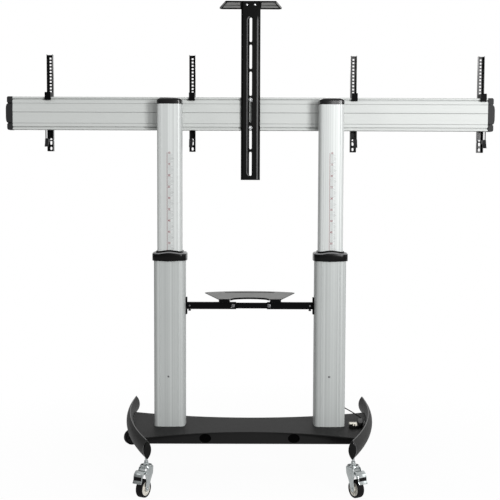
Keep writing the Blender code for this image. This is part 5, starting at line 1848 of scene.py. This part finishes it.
@dataclass
class Castor:
    """One swivel castor with its brake pedal, made in its own trail frame.

    Attributes:
        bench: Where its pieces go.
        index: Number of the castor.
        spot: Place of its stem on the floor plan.
        trail: Direction that its wheel trails in.
        hub: Finish of its hub.
        top: Height of the swivel plate's upper face.
        offset: How far the wheel trails.
        radius: Radius of the wheel.
        cheek: Distance of the cheeks' inner faces from the middle, and their sheet.
        pin: Place of the pedal's pin along the trail, and its height.
    """

    bench: Bench
    index: int
    spot: Flat
    trail: Flat
    hub: Finish = HUB_PLASTIC
    top: float = 0.1272
    offset: float = 0.022
    radius: float = 0.0375
    cheek: Flat = (0.018, 0.0025)
    pin: Flat = (0.030, 0.108)

    @property
    def pose(self) -> Matrix:
        """Frame of the castor: X along its trail, Y along its axle."""
        angle = math.atan2(self.trail[1], self.trail[0])
        return Matrix.Translation((*self.spot, 0.0)) @ Matrix.Rotation(angle, 4, "Z")

    def name(self, part: str) -> str:
        """Give the name of one of this castor's solids.

        Args:
            part: Word for the solid.

        Returns:
            The name.
        """
        return f"castor_{part}_{self.index}"

    def head(self) -> None:
        """Make the stem and its swivel dish."""
        name = self.name("head")
        low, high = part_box(name)
        dish = self.top + 0.0003
        crown, neck = dish + 0.0045, 0.1420
        profile = ((0.0, high[2]), (0.0055, high[2]), (0.0055, neck), (0.0090, neck - 0.0005),
                   (0.0094, neck - 0.0020), (0.0094, crown + 0.0030), (0.0110, crown + 0.0012),
                   (0.0185, crown - 0.0006), (0.0215, crown + 0.0004), (0.0240, crown - 0.0006),
                   (0.0250, crown - 0.0022), (0.0250, dish), (0.0060, dish), (0.0060, dish - 0.0076),
                   (0.0100, dish - 0.0076), (0.0090, low[2] + 0.001), (0.0, low[2]))
        bm = turned(profile, Matrix.Translation((*self.spot, 0.0)), 32)
        nut = hexagon(Matrix.Translation((*self.spot, neck - 0.0002)), 0.0092, 0.0052)
        self.bench.put(name + "_dish", joined(bm, nut), CASTOR_ZINC, "base", (name,), smooth=38.0)

    def fork(self) -> None:
        """Make the pressed fork: swivel plate, cheeks, axle and pedal pin."""
        top, trail, drop = self.top, self.offset, self.radius
        plate = turned(((0.0063, top - 0.0070), (0.0245, top - 0.0070), (0.0258, top - 0.0055),
                        (0.0265, top - 0.0015), (0.0260, top), (0.0063, top)), Matrix(), 36, ring=True)
        outline = ((-0.0235, top - 0.003), (0.0245, top - 0.003), (0.033, 0.108), (0.036, 0.094),
                   (0.031, 0.084), (0.029, 0.070), (trail + 0.012, 0.050), (trail + 0.012, drop),
                   (trail + 0.0085, drop - 0.0085), (trail, drop - 0.012), (trail - 0.0085, drop - 0.0085),
                   (trail - 0.012, drop), (-0.004, 0.070), (-0.0205, 0.096))
        inside, sheet = self.cheek
        for way in (-1, 1):
            start, stop = sorted((way * inside, way * (inside + sheet)))
            joined(plate, ease(slab(outline, start, stop, Axis.Y, 0.0025), 0.0006, 2, 0.9))
            face = way * (inside + sheet)
            axis = "+Y" if way > 0 else "-Y"
            joined(plate, hexagon(facing((trail, face, drop), axis), 0.0066, 0.0026),
                   turned(((0.0, -0.0004), (0.0042, -0.0004), (0.0040, 0.0010), (0.0, 0.0018)),
                          facing((self.pin[0], face, self.pin[1]), axis), 20))
        reach = inside + 0.001
        for (x, z), radius in (((trail, drop), 0.004), (self.pin, 0.0025)):
            joined(plate, disc(facing((x, 0.0, z), "+Y"), radius, -reach, reach, 16))
        name = self.name("fork")
        self.bench.put(name + "_press", moved(plate, self.pose), CASTOR_ZINC, f"castor_{self.index}", (name,),
                       smooth=36.0)

    def wheel(self) -> None:
        """Make the tyre and the ribbed hub."""
        spot = facing((self.offset, 0.0, self.radius), "+Y")
        rim, half, bore = self.radius - 0.0083, 0.013, 0.0043
        web = ((bore, half + 0.003), (0.0095, half + 0.003), (0.0105, half + 0.002), (0.0110, half - 0.005),
               (rim - 0.0045, half - 0.005), (rim - 0.0030, half - 0.0004), (rim, half))
        hub = turned(two_sided(web), Matrix(), 36, ring=True)
        ribs, first = 5, 0.3
        for i in range(ribs):
            rib = block((0.0095, -0.0012, -half + 0.0012), (rim - 0.0025, 0.0012, half - 0.0012))
            turn = Matrix.Rotation(2.0 * math.pi * i / ribs + first, 4, "Z")
            joined(hub, moved(ease(rib, 0.0005, 2), turn))
        wide, tread = 0.015, self.radius
        wall = ((tread - 0.008, wide - 0.001), (tread - 0.0034, wide), (tread - 0.0016, wide - 0.0008),
                (tread - 0.0004, wide - 0.0026), (tread, wide - 0.0050))
        tyre = turned(two_sided(wall), Matrix(), 48, ring=True)
        body = f"wheel_{self.index}"
        put = self.bench.put
        put(self.name("hub") + "_ribbed", moved(hub, self.pose @ spot), self.hub, body, (self.name("hub"),))
        put(self.name("tyre") + "_tread", moved(tyre, self.pose @ spot), TYRE_RUBBER, body,
            (self.name("tyre"),), smooth=50.0)

    def pedal(self) -> None:
        """Make the pressed pedal and the black pad on its tread."""
        tongue = slab(((0.0262, 0.1112), (0.046, 0.1120), (0.058, 0.1050), (0.058, 0.1000), (0.046, 0.0985),
                       (0.034, 0.0985), (0.0262, 0.1045)), -0.0165, 0.0165, Axis.Y, 0.001)
        tread = slab(((0.042, 0.1160), (0.050, 0.1150), (0.060, 0.1060), (0.065, 0.0940), (0.0665, 0.0800),
                      (0.073, 0.0680), (0.070, 0.0665), (0.0635, 0.0775), (0.0615, 0.0930), (0.057, 0.1035),
                      (0.049, 0.1105), (0.042, 0.1115)), -0.0205, 0.0205, Axis.Y, 0.0014)
        press = joined(ease(tongue, 0.0006, 2), ease(tread, 0.0006, 2, 0.9))
        pad = slab(((0.0640, 0.0945), (0.0664, 0.0938), (0.0682, 0.0806), (0.0655, 0.0798)), -0.0175, 0.0175,
                   Axis.Y, 0.0005)
        body = f"pedal_{self.index}"
        put = self.bench.put
        put(self.name("pedal") + "_press", moved(press, self.pose), CASTOR_ZINC, body, (self.name("pedal"),),
            smooth=36.0)
        put(self.name("pedal") + "_pad", moved(ease(pad, 0.0005, 2), self.pose), TYRE_RUBBER, body)

    def build(self) -> None:
        """Make the castor."""
        self.head()
        self.fork()
        self.wheel()
        if self.name("pedal") in self.bench.nodes:
            self.pedal()


@dataclass
class Studio:
    """Camera, lights, pale floor and white surroundings.

    Attributes:
        eye: Place of the camera.
        yaw: Turn of the camera to the right.
        pitch: Tilt of the camera downwards.
        roll: Roll of the camera.
        lens: Focal length in millimetres.
        key_spot: Place of the key light.
        key_aim: Point that the key light faces.
        key_power: Power of the key light.
        key_size: Width of the key light.
        soft_lamps: Name, place, aim, power and width of each weaker lamp.
        ambient: Light of the surroundings on the object.
        room: Brightness of the room behind the camera against the backdrop.
        floor_share: Share of plain white in the floor near the object.
        floor_bounce: Share of light that the floor gives back to the object.
    """

    eye: Spot = (-0.0193, -4.4888, 1.2920)
    yaw: float = -0.0042
    pitch: float = 0.0663
    roll: float = 0.0036
    lens: float = 72.0
    key_spot: Spot = (2.37, -4.90, 1.95)
    key_aim: Spot = (0.0, 0.0, 1.2)
    key_power: float = 188.0
    key_size: float = 1.10
    soft_lamps: tuple[tuple[str, Spot, Spot, float, float], ...] = (
        ("front_soft", (0.96, -4.70, 2.32), (0.3, 0.0, 1.5), 30.0, 0.50),
        ("left_soft", (-3.20, -1.50, 2.60), (0.0, 0.0, 1.4), 12.0, 1.2),
        ("side_soft", (3.40, -0.60, 1.70), (0.0, 0.0, 1.3), 12.0, 1.5),
        ("rear_soft", (0.3, 2.6, 2.9), (0.0, 0.0, 1.2), 18.0, 1.8))
    ambient: float = 0.42
    room: float = 0.14
    floor_share: float = 0.96
    floor_bounce: float = 0.25

    def camera(self) -> None:
        """Set up the camera at the photograph's angle."""
        data = bpy.data.cameras.new("view")
        data.sensor_width = 36.0
        data.sensor_fit = "HORIZONTAL"
        data.lens = self.lens
        item = placed("view", data)
        turn = (Matrix.Rotation(self.yaw, 4, "Z") @ Matrix.Rotation(math.pi / 2 - self.pitch, 4, "X")
                @ Matrix.Rotation(self.roll, 4, "Z"))
        item.matrix_world = Matrix.Translation(self.eye) @ turn
        bpy.context.scene.camera = item

    def lamp(self, name: str, spot: Spot, aim: Spot, power: float, size: float) -> None:
        """Hang a square lamp.

        Args:
            name: Its name.
            spot: Its place.
            aim: Point that it faces.
            power: Its power.
            size: Its width.
        """
        data = bpy.data.lights.new(name, "AREA")
        data.energy = power
        data.size = size
        item = placed(name, data)
        way = Vector(aim) - Vector(spot)
        item.matrix_world = Matrix.Translation(spot) @ way.to_track_quat("-Z", "Y").to_matrix().to_4x4()

    def surroundings(self) -> None:
        """Set the surroundings: white backdrop, bright right and top, dim room behind the camera."""
        world = bpy.data.worlds.new("studio")
        world.use_nodes = True
        bpy.context.scene.world = world
        tree = Tree(world.node_tree)
        inward = tree.add("ShaderNodeNewGeometry").outputs["Normal"]
        part = tree.add("ShaderNodeSeparateXYZ", {0: inward}).outputs
        leftward = tree.stretch(part["X"], 0.15, 0.75, 1.0, 0.05)
        backdrop = tree.math("MULTIPLY", tree.stretch(part["Y"], 0.25, -0.35, 0.0, 1.0), leftward)
        right = tree.stretch(part["X"], 0.55, -0.85, 0.0, 0.85)
        above = tree.stretch(part["Z"], -0.15, -0.9, 0.0, 0.8)
        most = tree.math("MAXIMUM", tree.math("MAXIMUM", backdrop, right), above)
        room = tree.stretch(most, 0.0, 1.0, self.room, 1.0)
        path = tree.add("ShaderNodeLightPath").outputs
        seen = tree.stretch(path["Is Glossy Ray"], 0.0, 1.0, self.ambient, room)
        clear = tree.math("MAXIMUM", path["Is Camera Ray"], path["Is Transmission Ray"])
        level = tree.math("MAXIMUM", seen, clear)
        light = tree.add("ShaderNodeBackground", {"Color": (1.0, 1.0, 1.0, 1.0), "Strength": level})
        tree.add("ShaderNodeOutputWorld", {"Surface": light.outputs[0]})

    def floor(self) -> None:
        """Lay the pale floor, which keeps the object's shadow near it."""
        bm = bmesh.new()
        bmesh.ops.create_circle(bm, cap_ends=True, cap_tris=False, segments=96, radius=7.0)
        mesh = bpy.data.meshes.new("floor")
        bm.to_mesh(mesh)
        bm.free()
        paint = bpy.data.materials.new("floor")
        paint.use_nodes = True
        tree = Tree(paint.node_tree)
        place = tree.add("ShaderNodeTexCoord").outputs["Object"]
        away = tree.add("ShaderNodeVectorMath", {0: place}, operation="LENGTH").outputs["Value"]
        path = tree.add("ShaderNodeLightPath").outputs
        clear = tree.math("MAXIMUM", path["Is Camera Ray"], path["Is Transmission Ray"])
        shown = tree.math("MAXIMUM", clear, tree.math("MULTIPLY", path["Is Glossy Ray"], 0.5))
        share = tree.math("MULTIPLY", shown, tree.stretch(away, 0.8, 2.0, self.floor_share, 1.0))
        bounce = tree.stretch(path["Is Diffuse Ray"], 0.0, 1.0, 0.80, self.floor_bounce)
        grey = tree.add("ShaderNodeCombineColor", {0: bounce, 1: bounce, 2: bounce}).outputs[0]
        matt = tree.add("ShaderNodeBsdfDiffuse", {"Color": grey})
        glow = tree.add("ShaderNodeEmission", {"Color": (1.0, 1.0, 1.0, 1.0), "Strength": 1.0})
        both = tree.add("ShaderNodeMixShader", {0: share, 1: matt.outputs[0], 2: glow.outputs[0]})
        tree.add("ShaderNodeOutputMaterial", {"Surface": both.outputs[0]})
        mesh.materials.append(paint)
        placed("floor", mesh)

    def build(self) -> None:
        """Set up the studio."""
        self.camera()
        self.surroundings()
        self.floor()
        self.lamp("key", self.key_spot, self.key_aim, self.key_power, self.key_size)
        for row in self.soft_lamps:
            self.lamp(*row)
        bpy.context.scene.view_settings.view_transform = "Standard"


def main() -> None:
    """Build the dressed stand."""
    logging.basicConfig(level=logging.INFO, format="%(message)s")
    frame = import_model()
    bench = Bench(frame["nodes"])
    Studio().build()
    PowerLead(bench).build()
    RollingBase(bench).build()
    column_x = 0.360
    for side, screw in ((Side.LEFT, (-0.3629, 0.4305)), (Side.RIGHT, (0.356, 0.4305))):
        Column(bench, side, side.value * column_x, screw).build()
    DisplayRail(bench).build()
    CameraMast(bench).build()
    for index in range(1, 5):
        DisplayArm(bench, index).build()
    EquipmentShelf(bench).build()
    trails = ((-0.45, -0.89), (0.50, -0.866), (-0.866, -0.50), (0.25, 0.97))
    for index, trail in enumerate(trails, 1):
        low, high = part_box(f"castor_head_{index}")
        hub = HUB_PLASTIC if index < 3 else HUB_DARK
        Castor(bench, index, (0.5 * (low[0] + high[0]), 0.5 * (low[1] + high[1])), trail, hub).build()


if __name__ == "__main__":
    main()
